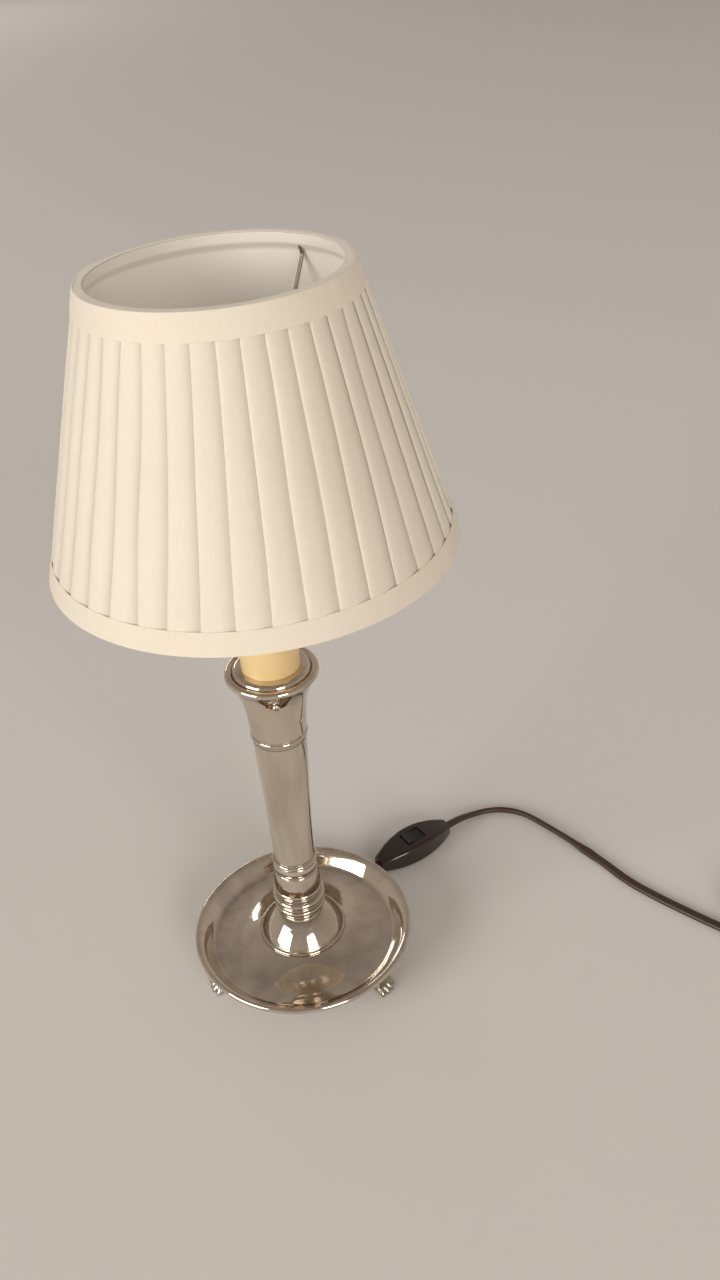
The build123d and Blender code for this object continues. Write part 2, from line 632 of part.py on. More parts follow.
def switch_pod():
    """The whole pod as one solid: an oval plan, and a long crowned side view."""
    with BuildPart() as pod:
        with BuildSketch(switch_plane):
            with BuildLine():
                for side in (1, -1):
                    ThreePointArc((-HALF, END_WIDE / 2 * side), (0, SWITCH_WIDE / 2 * side),
                                  (HALF, END_WIDE / 2 * side))
                Line((-HALF, END_WIDE / 2), (-HALF, -END_WIDE / 2))
                Line((HALF, END_WIDE / 2), (HALF, -END_WIDE / 2))
            make_face()
        extrude(amount=SWITCH_TALL)
        with BuildSketch(switch_side):
            with BuildLine():
                ThreePointArc((-HALF, 11.2), (0, SWITCH_TALL), (HALF, 11.2))
                Line((HALF, 11.2), (HALF, 1.6))
                ThreePointArc((HALF, 1.6), (0, 0), (-HALF, 1.6))
                Line((-HALF, 1.6), (-HALF, 11.2))
            make_face()
        extrude(amount=SWITCH_WIDE, both=True, mode=Mode.INTERSECT)
        fillet(pod.edges().filter_by(lambda edge: edge.length > SWITCH_LONG * 0.9), radius=2.6)
        # entries for the flex at both ends
        for end in (-1, 1):
            with BuildSketch(Plane(origin=Vector(*SWITCH_AT, SWITCH_EYE) + along * (HALF * end),
                                   x_dir=across, z_dir=-along * end)):
                Circle(CORD_D / 2 + 0.02)
            extrude(amount=7.0, mode=Mode.SUBTRACT)
    return pod


with BuildPart() as switch_base:
    add(switch_pod().part)
    split(bisect_by=Plane.XY.offset(SWITCH_SPLIT), keep=Keep.BOTTOM)
    with BuildSketch(switch_plane.offset(2.0)):
        RectangleRounded(38.0, 13.0, 3.0)
    extrude(amount=SWITCH_TALL, mode=Mode.SUBTRACT)
save(switch_base, "switch_base")

WINDOW_WIDE = ROCKER_WIDE + 0.8
pin_plane = Plane(origin=Vector(*SWITCH_AT, PIVOT_Z), z_dir=across)
with BuildPart() as switch_cover:
    add(switch_pod().part)
    split(bisect_by=Plane.XY.offset(SWITCH_SPLIT), keep=Keep.TOP)
    with BuildSketch(switch_plane.offset(SWITCH_SPLIT - 1.0)):
        RectangleRounded(38.0, 13.0, 3.0)
    extrude(amount=SWITCH_TALL - 2.6 - SWITCH_SPLIT + 1.0, mode=Mode.SUBTRACT)
    with BuildSketch(switch_plane.offset(SWITCH_SPLIT)):
        RectangleRounded(WINDOW_LONG, WINDOW_WIDE, 1.6)
    extrude(amount=SWITCH_TALL, mode=Mode.SUBTRACT)
    with BuildSketch(pin_plane):
        Circle(ROCKER_PIN_R + 0.02)
    extrude(amount=PIN_REACH + 0.1, both=True, mode=Mode.SUBTRACT)
save(switch_cover, "switch_cover")

# The rocker's ends are arcs about its pin, so that it swings inside the window. Its top is a
# shallow valley.
ROCKER_R = 7.6
ROCKER_TOP = 3.2
VALLEY_R = 40.0
tilt = radians(ROCKER_TILT)
rocker_side = Plane(origin=Vector(*SWITCH_AT, PIVOT_Z), z_dir=-across,
                    x_dir=along * cos(tilt) - Vector(0, 0, 1) * sin(tilt))
with BuildPart() as switch_rocker:
    with BuildSketch(rocker_side):
        Circle(ROCKER_R)
        with Locations((0, -2.4)):
            Rectangle(40, 20, align=(Align.CENTER, Align.MAX), mode=Mode.SUBTRACT)
        with Locations((0, ROCKER_TOP + VALLEY_R)):
            Circle(VALLEY_R, mode=Mode.SUBTRACT)
    extrude(amount=ROCKER_WIDE / 2, both=True)
    fillet(switch_rocker.edges().filter_by(GeomType.CIRCLE).group_by(SortBy.LENGTH)[0], radius=1.4)
    with BuildSketch(Plane(origin=rocker_side.origin, z_dir=across)):
        Circle(ROCKER_PIN_R + 0.05)
    extrude(amount=ROCKER_WIDE, both=True, mode=Mode.SUBTRACT)
save(switch_rocker, "switch_rocker")

with BuildPart() as rocker_pin:
    with BuildSketch(pin_plane):
        Circle(ROCKER_PIN_R)
    extrude(amount=PIN_REACH, both=True)
save(rocker_pin, "rocker_pin")

with BuildPart() as switch_contacts:
    for end in (-1, 1):
        with BuildSketch(switch_plane.offset(2.0)):
            with Locations((end * 12.5, 0)):
                Rectangle(9.0, 5.0)
        extrude(amount=1.0)
        with BuildSketch(switch_plane.offset(3.0)):
            with Locations((end * 15.0, 0)):
                Circle(1.8)
        extrude(amount=2.4)
save(switch_contacts, "switch_contacts")

# ---------------------------------------------------------------- flex
SWITCH_LEFT = Vector(*SWITCH_AT, SWITCH_EYE) - along * HALF
SWITCH_RIGHT = Vector(*SWITCH_AT, SWITCH_EYE) + along * HALF
GRIP_EXIT = heading(GRIP_AZIMUTH) * 28.5 + Vector(0, 0, GRIP_Z)

# from the grip under the dish to the switch
lamp_side = [
    GRIP_EXIT,
    GRIP_EXIT + heading(GRIP_AZIMUTH) * 11.0,
    Vector(30.1, 42.0, 8.4),
    Vector(39.0, 50.0, 7.4),
    SWITCH_LEFT - along * 11.0,
    SWITCH_LEFT,
]

# across the table from the switch to the coil
COIL_HEADING = -45.0
TABLE_END = Vector(283.8, -46.4, CORD_Z + COIL_LIFT)
COIL_START = TABLE_END + heading(COIL_HEADING) * 16.0
table_side = [
    SWITCH_RIGHT,
    SWITCH_RIGHT + along * 12.0,
    Vector(133.2, 101.4, 4.6),
    Vector(147.0, 104.8, CORD_Z),
    Vector(161.4, 102.4, CORD_Z),
    Vector(173.8, 95.2, CORD_Z),
    Vector(184.5, 81.2, CORD_Z),
    Vector(199.4, 61.0, CORD_Z),
    Vector(213.6, 39.3, CORD_Z),
    Vector(226.0, 16.4, CORD_Z),
    Vector(243.5, -4.3, CORD_Z),
    Vector(264.2, -26.2, CORD_Z),
    TABLE_END,
    COIL_START,
]


def corner_radii(points):
    """Each corner's arc: 0.45 of its shorter run over the tangent of half the turn."""
    radii = []
    for before, corner, after in zip(points, points[1:], points[2:]):
        turn = (corner - before).get_angle(after - corner)
        shorter = min((corner - before).length, (after - corner).length)
        radii.append(0.45 * shorter / tan(radians(turn / 2)))
    return radii


def flex(points, name):
    radii = corner_radii(points)
    with BuildLine() as route:
        FilletPolyline(*points, radius=radii)
    with BuildPart() as cord:
        add(wire_along(route.wires()[0], CORD_D / 2))
    length = route.wires()[0].length
    print(name, "length", round(length, 1), "least radius", round(min(radii), 1),
          "radii", [round(r) for r in radii],
          "volume/section*length", round(cord.part.volume / (length * pi * CORD_D ** 2 / 4), 5))
    save(cord, name)
    return length


lamp_length = flex(lamp_side, "cord_lamp_side")

# Past the grip the flex's two cores run up the tie tube to the lampholder's terminals.
with BuildPart() as inner_leads:
    for side in (-1, 1):
        apart = heading(GRIP_AZIMUTH + 90) * (1.35 * side)
        inward = heading(GRIP_AZIMUTH)
        with BuildLine() as lead_line:
            FilletPolyline(inward * 14.4 + apart + Vector(0, 0, GRIP_Z),
                           inward * 9.0 + apart + Vector(0, 0, 5.2),
                           apart + Vector(0, 0, 4.0),
                           apart + Vector(0, 0, 247.0),
                           Vector(0, 3.9 * side, 253.0),
                           Vector(0, 5.6 * side, TERMINAL_Z), radius=(4.0, 3.0, 6.0, 3.0))
        add(wire_along(lead_line.wires()[0], 1.1))
save(inner_leads, "inner_leads")
table_length = flex(table_side, "cord_table_side")

# The spare flex is a round coil: it spirals in on the table, climbs a layer in one half
# turn, and spirals out on top. Every half turn is one arc between two points on a line
# through the coil, and its neighbours share its tangent there.
forward = heading(COIL_HEADING)
sideways = heading(COIL_HEADING + 90)
COIL_ENTRY = COIL_START + forward * CORD_D
coil_middle = COIL_ENTRY + sideways * COIL_R


def coil_station(index):
    """Signed reach from the middle and layer at the start of a half turn."""
    if index <= COIL_TURNS_IN:
        reach = COIL_R - COIL_PITCH * (index // 2)
        layer = 0
    else:
        reach = COIL_R - COIL_PITCH * ((2 * COIL_TURNS_IN - index + 1) // 2)
        layer = 1
    side = -1 if index % 2 == 0 else 1
    return coil_middle + sideways * (side * reach) + Vector(0, 0, layer * COIL_PITCH)


coil_arcs = []
with BuildLine() as coil_line:
    Line(COIL_START, COIL_ENTRY)
    for index in range(COIL_HALF_TURNS):
        begin = coil_station(index)
        end = coil_station(index + 1)
        bulge = forward * ((end - begin).length / 2 * (1 if index % 2 == 0 else -1))
        arc = ThreePointArc(begin, (begin + end) / 2 + bulge, end)
        coil_arcs.append(arc)
    tail_way = forward * (1 if COIL_HALF_TURNS % 2 == 0 else -1)
    coil_end = coil_station(COIL_HALF_TURNS) + tail_way * CORD_D
    Line(coil_station(COIL_HALF_TURNS), coil_end)
with BuildPart() as cord_coil:
    add(wire_along(coil_line.wires()[0], CORD_D / 2))
save(cord_coil, "cord_coil")
coil_length = coil_line.wires()[0].length

# A strap ties the coil where the flex comes in and goes out.
STRAP = 0.6
STRAP_WIDE = 4.0
strap_plane = Plane(origin=coil_middle + forward * (STRAP_WIDE / 2), x_dir=-sideways, z_dir=-forward)
inmost = COIL_R - COIL_PITCH * (COIL_TURNS_IN // 2)
with BuildPart() as coil_tie:
    for clear, mode in ((0.15 + STRAP, Mode.ADD), (0.15, Mode.SUBTRACT)):
        with BuildSketch(strap_plane):
            with Locations((inmost, 0), (COIL_R, 0), (COIL_R, COIL_PITCH),
                           (inmost + COIL_PITCH, COIL_PITCH)):
                Circle(CORD_D / 2 + clear)
            make_hull()
        extrude(amount=STRAP_WIDE, mode=mode)
save(coil_tie, "coil_tie")

# least distance between parts of the coil that are over a quarter turn apart
samples = []
travelled = 0.0
for arc in coil_arcs:
    count = max(int(arc.length / 2.0), 8)
    samples += [(tuple(arc @ (k / count)), travelled + arc.length * k / count)
                for k in range(count)]
    travelled += arc.length
gap = min(dist(p, q) - CORD_D for i, (p, s) in enumerate(samples)
          for q, t in samples[i + 1:] if t - s > 30.0)
print("coil length", round(coil_length, 1), "least gap to itself", round(gap, 2),
      "across", round(2 * (COIL_R + CORD_D / 2), 1), "middle", coil_middle,
      "volume/section*length", round(cord_coil.part.volume / (coil_length * pi * CORD_D ** 2 / 4), 5))

# off the coil, down to the table and round to the plug
plug_way = heading(PLUG_TURN)
plug_side = [
    coil_end,
    coil_end + tail_way * 21.0,
    Vector(341.6, -101.6, 6.6),
    Vector(359.6, -109.4, 3.7),
    Vector(379.4, -107.6, CORD_Z),
    Vector(393.8, -93.8, 4.6),
    Vector(*PLUG_AT, PLUG_TALL / 2) - plug_way * 14.0,
    Vector(*PLUG_AT, PLUG_TALL / 2),
]
plug_length = flex(plug_side, "cord_plug_side")
print("whole flex", round(lamp_length + SWITCH_LONG + table_length + coil_length + plug_length))

# ---------------------------------------------------------------- plug
plug_plane = Plane(origin=(*PLUG_AT, 0), x_dir=plug_way, z_dir=(0, 0, 1))
plug_end = Plane(origin=Vector(*PLUG_AT, PLUG_TALL / 2), x_dir=heading(PLUG_TURN - 90), z_dir=plug_way)
with BuildPart() as plug_body:
    with BuildSketch(plug_plane):
        with BuildLine():
            Polyline((PLUG_RELIEF, -7.0), (PLUG_RELIEF + 15.0, -PLUG_WIDE / 2),
                     (PLUG_RELIEF + PLUG_LONG, -PLUG_WIDE / 2), (PLUG_RELIEF + PLUG_LONG, PLUG_WIDE / 2),
                     (PLUG_RELIEF + 15.0, PLUG_WIDE / 2), (PLUG_RELIEF, 7.0), close=True)
        make_face()
    extrude(amount=PLUG_TALL)
    fillet(plug_body.edges().filter_by(Axis.Z).group_by(Axis((0, 0, 0), plug_way))[:-1], radius=4.0)
    fillet(plug_body.edges().group_by(Axis.Z)[0] + plug_body.edges().group_by(Axis.Z)[-1], radius=1.8)
    with BuildSketch(plug_end.offset(PLUG_RELIEF + PLUG_LONG - PIN_ROOT)):
        with GridLocations(PIN_SPACING, 1, 2, 1):
            Circle(PIN_ROOT_R + 0.02)
    extrude(amount=PIN_ROOT + 1.0, mode=Mode.SUBTRACT)
save(plug_body, "plug_body")

with BuildPart() as plug_relief:
    with BuildSketch(plug_end):
        Circle(CORD_D / 2 + 0.9)
    with BuildSketch(plug_end.offset(PLUG_RELIEF)):
        Circle(5.6)
    loft()
    for slot_at in (5.0, 9.5, 14.0):
        for side in (-1, 1):
            with BuildSketch(plug_end.offset(slot_at)):
                with Locations((side * 5.6, 0)):
                    Rectangle(3.2, 12.0)
            extrude(amount=1.6, mode=Mode.SUBTRACT)
save(plug_relief, "plug_relief")

with BuildPart() as plug_pins:
    with BuildSketch(plug_end.offset(PLUG_RELIEF + PLUG_LONG - PIN_ROOT)):
        with GridLocations(PIN_SPACING, 1, 2, 1):
            Circle(PIN_ROOT_R)
    extrude(amount=PIN_ROOT)
    with BuildSketch(plug_end.offset(PLUG_RELIEF + PLUG_LONG)):
        with GridLocations(PIN_SPACING, 1, 2, 1):
            Circle(PIN_R)
    extrude(amount=PIN_LONG)
    fillet(plug_pins.edges().group_by(Axis((0, 0, 0), plug_way))[-1], radius=1.2)
save(plug_pins, "plug_pins")
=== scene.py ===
from math import cos, pi, radians, sin

import bpy
import numpy as np
from mathutils import Matrix, Vector


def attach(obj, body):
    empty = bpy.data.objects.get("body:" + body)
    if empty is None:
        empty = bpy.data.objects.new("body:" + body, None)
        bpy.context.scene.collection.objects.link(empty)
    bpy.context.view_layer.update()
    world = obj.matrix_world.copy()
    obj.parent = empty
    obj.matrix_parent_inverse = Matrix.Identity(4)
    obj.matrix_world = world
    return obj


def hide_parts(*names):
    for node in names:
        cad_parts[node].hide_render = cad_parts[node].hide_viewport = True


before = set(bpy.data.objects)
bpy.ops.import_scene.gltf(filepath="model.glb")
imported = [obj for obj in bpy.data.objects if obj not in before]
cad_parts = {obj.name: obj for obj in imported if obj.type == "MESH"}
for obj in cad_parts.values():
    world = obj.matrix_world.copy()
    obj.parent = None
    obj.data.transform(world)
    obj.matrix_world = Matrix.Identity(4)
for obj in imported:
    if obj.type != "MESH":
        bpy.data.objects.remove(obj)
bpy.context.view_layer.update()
mm = 0.001
scene = bpy.context.scene
print("frame loaded")

# camera, solved from the circles of the dish, the cup and the shade
cameraSet = {
    "location": (0.0, -0.51897, 0.59647),
    "right": (0.98921822, -0.13467813, -0.05752497),
    "up": (0.1231031, 0.55191942, 0.82476093),
    "ahead": (0.07932811, 0.82295003, -0.56254804),
    "lens": 32.34,
    "sensor": 36.0,
}


def placeCamera(spec):
    # the camera looks against its own third axis
    data = bpy.data.cameras.new("camera")
    data.lens = spec["lens"]
    data.sensor_width = spec["sensor"]
    data.clip_end = 60.0
    holder = bpy.data.objects.new("camera", data)
    turn = Matrix((spec["right"], spec["up"], [-v for v in spec["ahead"]])).transposed()
    holder.matrix_world = Matrix.Translation(spec["location"]) @ turn.to_4x4()
    scene.collection.objects.link(holder)
    scene.camera = holder


placeCamera(cameraSet)
print("camera placed")


def gridFaces(rows, cols, closeRows=False, closeCols=False):
    # quads between neighbouring points of a grid; a closed direction joins its last line to its first
    down = np.arange(rows if closeRows else rows - 1)
    over = np.arange(cols if closeCols else cols - 1)
    i, j = np.meshgrid(down, over, indexing="ij")
    i2 = (i + 1) % rows
    j2 = (j + 1) % cols
    return np.stack([i * cols + j, i * cols + j2, i2 * cols + j2, i2 * cols + j], axis=-1).reshape(-1, 4)


def putMesh(name, points, blocks, crease=35):
    # one mesh from points in millimetres and blocks of faces; edges sharper than the crease stay sharp
    mesh = bpy.data.meshes.new(name)
    faces = [list(face) for block in blocks for face in np.asarray(block).tolist()]
    mesh.from_pydata((points * mm).tolist(), [], faces)
    mesh.validate()
    mesh.shade_smooth()
    mesh.set_sharp_from_angle(angle=radians(crease))
    return mesh


def showPiece(name, mesh, material, body, nodes):
    # the mesh as a piece of the object, on its body, in place of the named nodes
    piece = bpy.data.objects.new(name, mesh)
    scene.collection.objects.link(piece)
    mesh.materials.append(material)
    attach(piece, body)
    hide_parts(*nodes)
    return piece


def pointValues(mesh, label, values):
    # one number for each point, read by materials under its label
    mesh.attributes.new(label, "FLOAT", "POINT").data.foreach_set("value", np.asarray(values, np.float32))


def cornerUv(mesh, uv):
    # one pair of numbers for each point, given to each corner of each face
    layer = mesh.uv_layers.new(name="cloth")
    loops = np.empty(len(mesh.loops), np.int32)
    mesh.loops.foreach_get("vertex_index", loops)
    layer.data.foreach_set("uv", np.asarray(uv, np.float32)[loops].ravel())


def takeMesh(holder):
    # the finished mesh of an object that is needed only for its shape
    scene.collection.objects.link(holder)
    mesh = bpy.data.meshes.new_from_object(holder.evaluated_get(bpy.context.evaluated_depsgraph_get()))
    bpy.data.objects.remove(holder)
    return mesh


def readVectors(items, label):
    # vectors of all items, one to a row
    found = np.empty(len(items) * 3)
    items.foreach_get(label, found)
    return found.reshape(-1, 3)


def unit(rows):
    return rows / np.linalg.norm(rows, axis=-1, keepdims=True)


def runAlong(points):
    # length of the line from its first point to each point
    return np.concatenate([[0], np.cumsum(np.linalg.norm(np.diff(points, axis=0), axis=1))])


def aroundAxis(radius, turn, height):
    # cylinder coordinates to x, y, z
    return np.stack(np.broadcast_arrays(radius * np.cos(turn), radius * np.sin(turn), height), axis=-1)


def heading(angle):
    # level arrow at an angle in degrees from +X
    return np.array((cos(radians(angle)), sin(radians(angle)), 0.0))


def feed(tree, node, inputs):
    # each input linked to a socket or set to a value
    for key, value in inputs.items():
        if isinstance(value, bpy.types.NodeSocket):
            tree.links.new(value, node.inputs[key])
        else:
            node.inputs[key].default_value = value
    return node


def addNode(tree, kind, inputs={}, **settings):
    made = tree.nodes.new(kind)
    for key, value in settings.items():
        setattr(made, key, value)
    return feed(tree, made, inputs)


def objectPlace(tree):
    return addNode(tree, "ShaderNodeTexCoord").outputs["Object"]


def reckon(tree, operation, first, second=0.0, third=0.0):
    made = addNode(tree, "ShaderNodeMath", {0: first, 1: second, 2: third}, operation=operation)
    return made.outputs[0]


def stretched(tree, value, low, high):
    # value carried from the span low to high onto 0 to 1
    return addNode(tree, "ShaderNodeMapRange", {"Value": value, "From Min": low, "From Max": high}).outputs[0]


def noise(tree, place, scale, detail, rough=0.5):
    made = addNode(tree, "ShaderNodeTexNoise",
                   {"Vector": place, "Scale": scale, "Detail": detail, "Roughness": rough})
    return made.outputs[0]


def blendColors(tree, share, first, second):
    made = addNode(tree, "ShaderNodeMix", {0: share, 6: first, 7: second}, data_type="RGBA")
    return made.outputs[2]


def effectGroup(name, inputs, outputs):
    # empty shader group with named sockets, its input node and its output node
    group = bpy.data.node_groups.new(name, "ShaderNodeTree")
    for label, kind, value in inputs:
        socket = group.interface.new_socket(label, in_out="INPUT", socket_type=kind)
        if value is not None:
            socket.default_value = value
    for label, kind in outputs:
        group.interface.new_socket(label, in_out="OUTPUT", socket_type=kind)
    return group, group.nodes.new("NodeGroupInput"), group.nodes.new("NodeGroupOutput")


number = "NodeSocketFloat"
tint = "NodeSocketColor"
arrow = "NodeSocketVector"


def makePlateTarnishAndReflection():
    # polished plate: upright clouds that are partly patina and partly painted reflection streaks;
    # the recesses and dark bands darken more, as patina, and as painted shade where a band is noted
    group, given, result = effectGroup(
        "plateTarnishAndReflection",
        [("Recess", number, 0.0), ("TarnishAndPaintedDark", number, 0.5), ("Polish", number, 0.12),
         ("Bright", tint, (0.75, 0.71, 0.65, 1)), ("Dull", tint, (0.20, 0.15, 0.11, 1))],
        [("Color", tint), ("Roughness", number), ("Height", number)])
    place = objectPlace(group)
    upright = addNode(group, "ShaderNodeMapping", {"Vector": place, "Scale": (1.0, 1.0, 0.16)}).outputs[0]
    clouds = noise(group, upright, 85.0, 5.0)
    specks = noise(group, place, 900.0, 3.0, 0.7)
    # upright streaks: partly patina, partly painted reflection
    streakyTarnishAndReflection = stretched(group, clouds, 0.42, 0.64)
    pits = stretched(group, specks, 0.62, 0.8)
    hollow = reckon(group, "MULTIPLY", given.outputs["Recess"], reckon(group, "ADD", clouds, 0.45))
    tarnishAndPaintedDark = reckon(group, "ADD", hollow, reckon(group, "MULTIPLY", streakyTarnishAndReflection, 0.5))
    tarnishAndPaintedDark = reckon(group, "ADD", tarnishAndPaintedDark, reckon(group, "MULTIPLY", pits, 0.22))
    made = addNode(group, "ShaderNodeMath", {0: tarnishAndPaintedDark, 1: given.outputs["TarnishAndPaintedDark"]},
                   operation="MULTIPLY", use_clamp=True)
    color = blendColors(group, made.outputs[0], given.outputs["Bright"], given.outputs["Dull"])
    rough = reckon(group, "MULTIPLY_ADD", made.outputs[0], 0.30, given.outputs["Polish"])
    rough = reckon(group, "MULTIPLY_ADD", streakyTarnishAndReflection, 0.03, rough)
    feed(group, result, {"Color": color, "Roughness": rough, "Height": reckon(group, "MULTIPLY", clouds, 0.5)})
    return group


def makeSpunLines():
    # fine rings left by the lathe: one line of noise read along radius plus height
    group, given, result = effectGroup("spunLines", [("Fineness", number, 1800.0)], [("Height", number)])
    place = objectPlace(group)
    parts = addNode(group, "ShaderNodeSeparateXYZ", {0: place})
    flat = addNode(group, "ShaderNodeCombineXYZ", {0: parts.outputs[0], 1: parts.outputs[1]})
    reach = addNode(group, "ShaderNodeVectorMath", {0: flat.outputs[0]}, operation="LENGTH")
    run = reckon(group, "ADD", reach.outputs["Value"], parts.outputs[2])
    lines = addNode(group, "ShaderNodeTexNoise",
                    {"W": run, "Scale": given.outputs["Fineness"], "Detail": 3.0}, noise_dimensions="1D")
    feed(group, result, {"Height": lines.outputs[0]})
    return group


def makeFineWeave():
    # plain weave: two crossed sine ridges that trade places, with uneven threads
    group, given, result = effectGroup(
        "fineWeave", [("Cloth", arrow, None), ("Threads", number, 2.4)],
        [("Height", number), ("Tone", number)])
    flat = given.outputs["Cloth"]
    slub = addNode(group, "ShaderNodeMapping", {"Vector": flat, "Scale": (0.9, 0.06, 1.0)}).outputs[0]
    cross = addNode(group, "ShaderNodeMapping", {"Vector": flat, "Scale": (0.05, 0.8, 1.0)}).outputs[0]
    parts = addNode(group, "ShaderNodeSeparateXYZ", {0: flat})
    turns = reckon(group, "MULTIPLY", given.outputs["Threads"], 2 * pi)
    warp = reckon(group, "SINE", reckon(group, "MULTIPLY", parts.outputs[0], turns))
    over = reckon(group, "SINE", reckon(group, "MULTIPLY", parts.outputs[1], turns))
    weave = reckon(group, "MULTIPLY_ADD", reckon(group, "MULTIPLY", warp, over), 0.35, 0.5)
    tone = reckon(group, "ADD", reckon(group, "MULTIPLY", noise(group, slub, 2.2, 4.0), 0.5),
                  reckon(group, "MULTIPLY", noise(group, cross, 2.6, 4.0), 0.5))
    feed(group, result, {"Height": reckon(group, "MULTIPLY_ADD", tone, 0.6, weave), "Tone": tone})
    return group


def makeMouldGrain():
    # moulded skin: a faint ripple with fine dust specks that only change the gloss
    group, given, result = effectGroup(
        "mouldGrain", [("Scale", number, 300.0), ("Gloss", number, 0.2)],
        [("Height", number), ("Roughness", number), ("Tone", number)])
    place = objectPlace(group)
    ripple = noise(group, place, given.outputs["Scale"], 4.0)
    wipe = noise(group, place, 70.0, 6.0, 0.6)
    rough = reckon(group, "MULTIPLY_ADD", wipe, 0.16, given.outputs["Gloss"])
    feed(group, result, {"Height": ripple, "Roughness": rough, "Tone": wipe})
    return group


plateTarnishAndReflection = makePlateTarnishAndReflection()
spunLines = makeSpunLines()
fineWeave = makeFineWeave()
mouldGrain = makeMouldGrain()


def newMaterial(name, inputs):
    material = bpy.data.materials.new(name)
    material.use_nodes = True
    tree = material.node_tree
    return material, tree, feed(tree, tree.nodes["Principled BSDF"], inputs)


def bump(tree, shader, height, distance):
    made = addNode(tree, "ShaderNodeBump", {"Height": height, "Distance": distance, "Strength": 1.0})
    feed(tree, shader, {"Normal": made.outputs[0]})


def placeEffect(tree, group, inputs):
    return addNode(tree, "ShaderNodeGroup", inputs, node_tree=group)


def plateMaterial(name, bright, dull, tarnishAndPaintedDarkStrength, polish, lines=0.5):
    # metal plate: the lathe's rings add to the height of the plate's patina and painted reflection
    material, tree, shader = newMaterial(name, {"Metallic": 1.0})
    recess = addNode(tree, "ShaderNodeAttribute", attribute_name="recess").outputs["Fac"]
    plate = placeEffect(tree, plateTarnishAndReflection, {"Recess": recess, "TarnishAndPaintedDark": tarnishAndPaintedDarkStrength, "Polish": polish,
                                             "Bright": (*bright, 1), "Dull": (*dull, 1)})
    spun = placeEffect(tree, spunLines, {"Fineness": 1800.0})
    height = reckon(tree, "MULTIPLY_ADD", spun.outputs["Height"], lines, plate.outputs["Height"])
    feed(tree, shader, {"Base Color": plate.outputs["Color"], "Roughness": plate.outputs["Roughness"]})
    bump(tree, shader, height, plateRelief)
    return material


plateRelief = 0.00003
silverPlate = plateMaterial("silverPlate", (0.71, 0.62, 0.525), (0.17, 0.11, 0.07), 0.44, 0.03, lines=0.05)
castSilver = plateMaterial("castSilver", (0.66, 0.59, 0.49), (0.10, 0.07, 0.045), 1.0, 0.12, lines=0.0)
plainBrass = plateMaterial("plainBrass", (0.72, 0.52, 0.24), (0.24, 0.14, 0.06), 0.7, 0.26)
nickelPlate = plateMaterial("nickelPlate", (0.70, 0.67, 0.62), (0.3, 0.26, 0.22), 0.5, 0.18)
zincPlate = plateMaterial("zincPlate", (0.58, 0.59, 0.60), (0.25, 0.24, 0.22), 0.6, 0.34)
springWire = plateMaterial("springWire", (0.34, 0.30, 0.26), (0.12, 0.09, 0.06), 0.6, 0.3, lines=0.0)


def mouldedMaterial(name, color, gloss, scale, ripple, coat=0.0, shift=0.25):
    # moulded plastic, a little darker and lighter in clouds
    material, tree, shader = newMaterial(name, {"Coat Weight": coat, "Coat Roughness": 0.06})
    grain = placeEffect(tree, mouldGrain, {"Scale": scale, "Gloss": gloss})
    lighter = tuple(min(1.0, v * (1 + shift)) for v in color)
    darker = tuple(v * (1 - shift) for v in color)
    shown = blendColors(tree, grain.outputs["Tone"], (*darker, 1), (*lighter, 1))
    feed(tree, shader, {"Base Color": shown, "Roughness": grain.outputs["Roughness"]})
    bump(tree, shader, grain.outputs["Height"], ripple)
    return material


podPlastic = mouldedMaterial("podPlastic", (0.020, 0.010, 0.007), 0.08, 220.0, 0.00001, coat=0.35)
rockerPlastic = mouldedMaterial("rockerPlastic", (0.004, 0.0035, 0.0035), 0.22, 260.0, 0.00001)
plugPlastic = mouldedMaterial("plugPlastic", (0.042, 0.022, 0.015), 0.34, 420.0, 0.00004)
darkPhenolic = mouldedMaterial("darkPhenolic", (0.035, 0.028, 0.025), 0.3, 380.0, 0.00003)
strapPlastic = mouldedMaterial("strapPlastic", (0.02, 0.02, 0.02), 0.42, 500.0, 0.00003)
flexSheath = mouldedMaterial("flexSheath", (0.056, 0.027, 0.017), 0.36, 260.0, 0.00005, coat=0.04)
candleSleeve = mouldedMaterial("candleSleeve", (0.76, 0.56, 0.27), 0.26, 160.0, 0.00003, coat=0.2, shift=0.06)


def clothMaterial(name, color, threads, relief, shift=0.06, sheen=0.3, deep=0.0):
    # woven cloth: slubs and age shift its colour; where deep is set, painted shade makes the recesses greyer
    material, tree, shader = newMaterial(
        name, {"Roughness": 0.85, "Sheen Weight": sheen, "Sheen Roughness": 0.4})
    flat = addNode(tree, "ShaderNodeUVMap", uv_map="cloth").outputs[0]
    weave = placeEffect(tree, fineWeave, {"Threads": threads, "Cloth": flat})
    place = objectPlace(tree)
    age = noise(tree, place, 16.0, 4.0)
    tone = reckon(tree, "ADD", reckon(tree, "MULTIPLY", weave.outputs["Tone"], 0.65),
                  reckon(tree, "MULTIPLY", age, 0.35))
    lighter = tuple(min(1.0, v * (1 + shift * 0.5)) for v in color)
    darker = tuple(v * w for v, w in zip(color, (1 - shift, 1 - shift * 1.15, 1 - shift * 1.5)))
    shown = blendColors(tree, stretched(tree, tone, 0.36, 0.64), (*darker, 1), (*lighter, 1))
    # painted shade: the recess value blends the colour towards a darker grey
    if deep:
        hollow = addNode(tree, "ShaderNodeAttribute", attribute_name="recess").outputs["Fac"]
        shown = blendColors(tree, reckon(tree, "MULTIPLY", hollow, deep), shown,
                            (*(v * w for v, w in zip(color, (0.5, 0.48, 0.46))), 1))
    feed(tree, shader, {"Base Color": shown})
    bump(tree, shader, weave.outputs["Height"], relief)
    return material


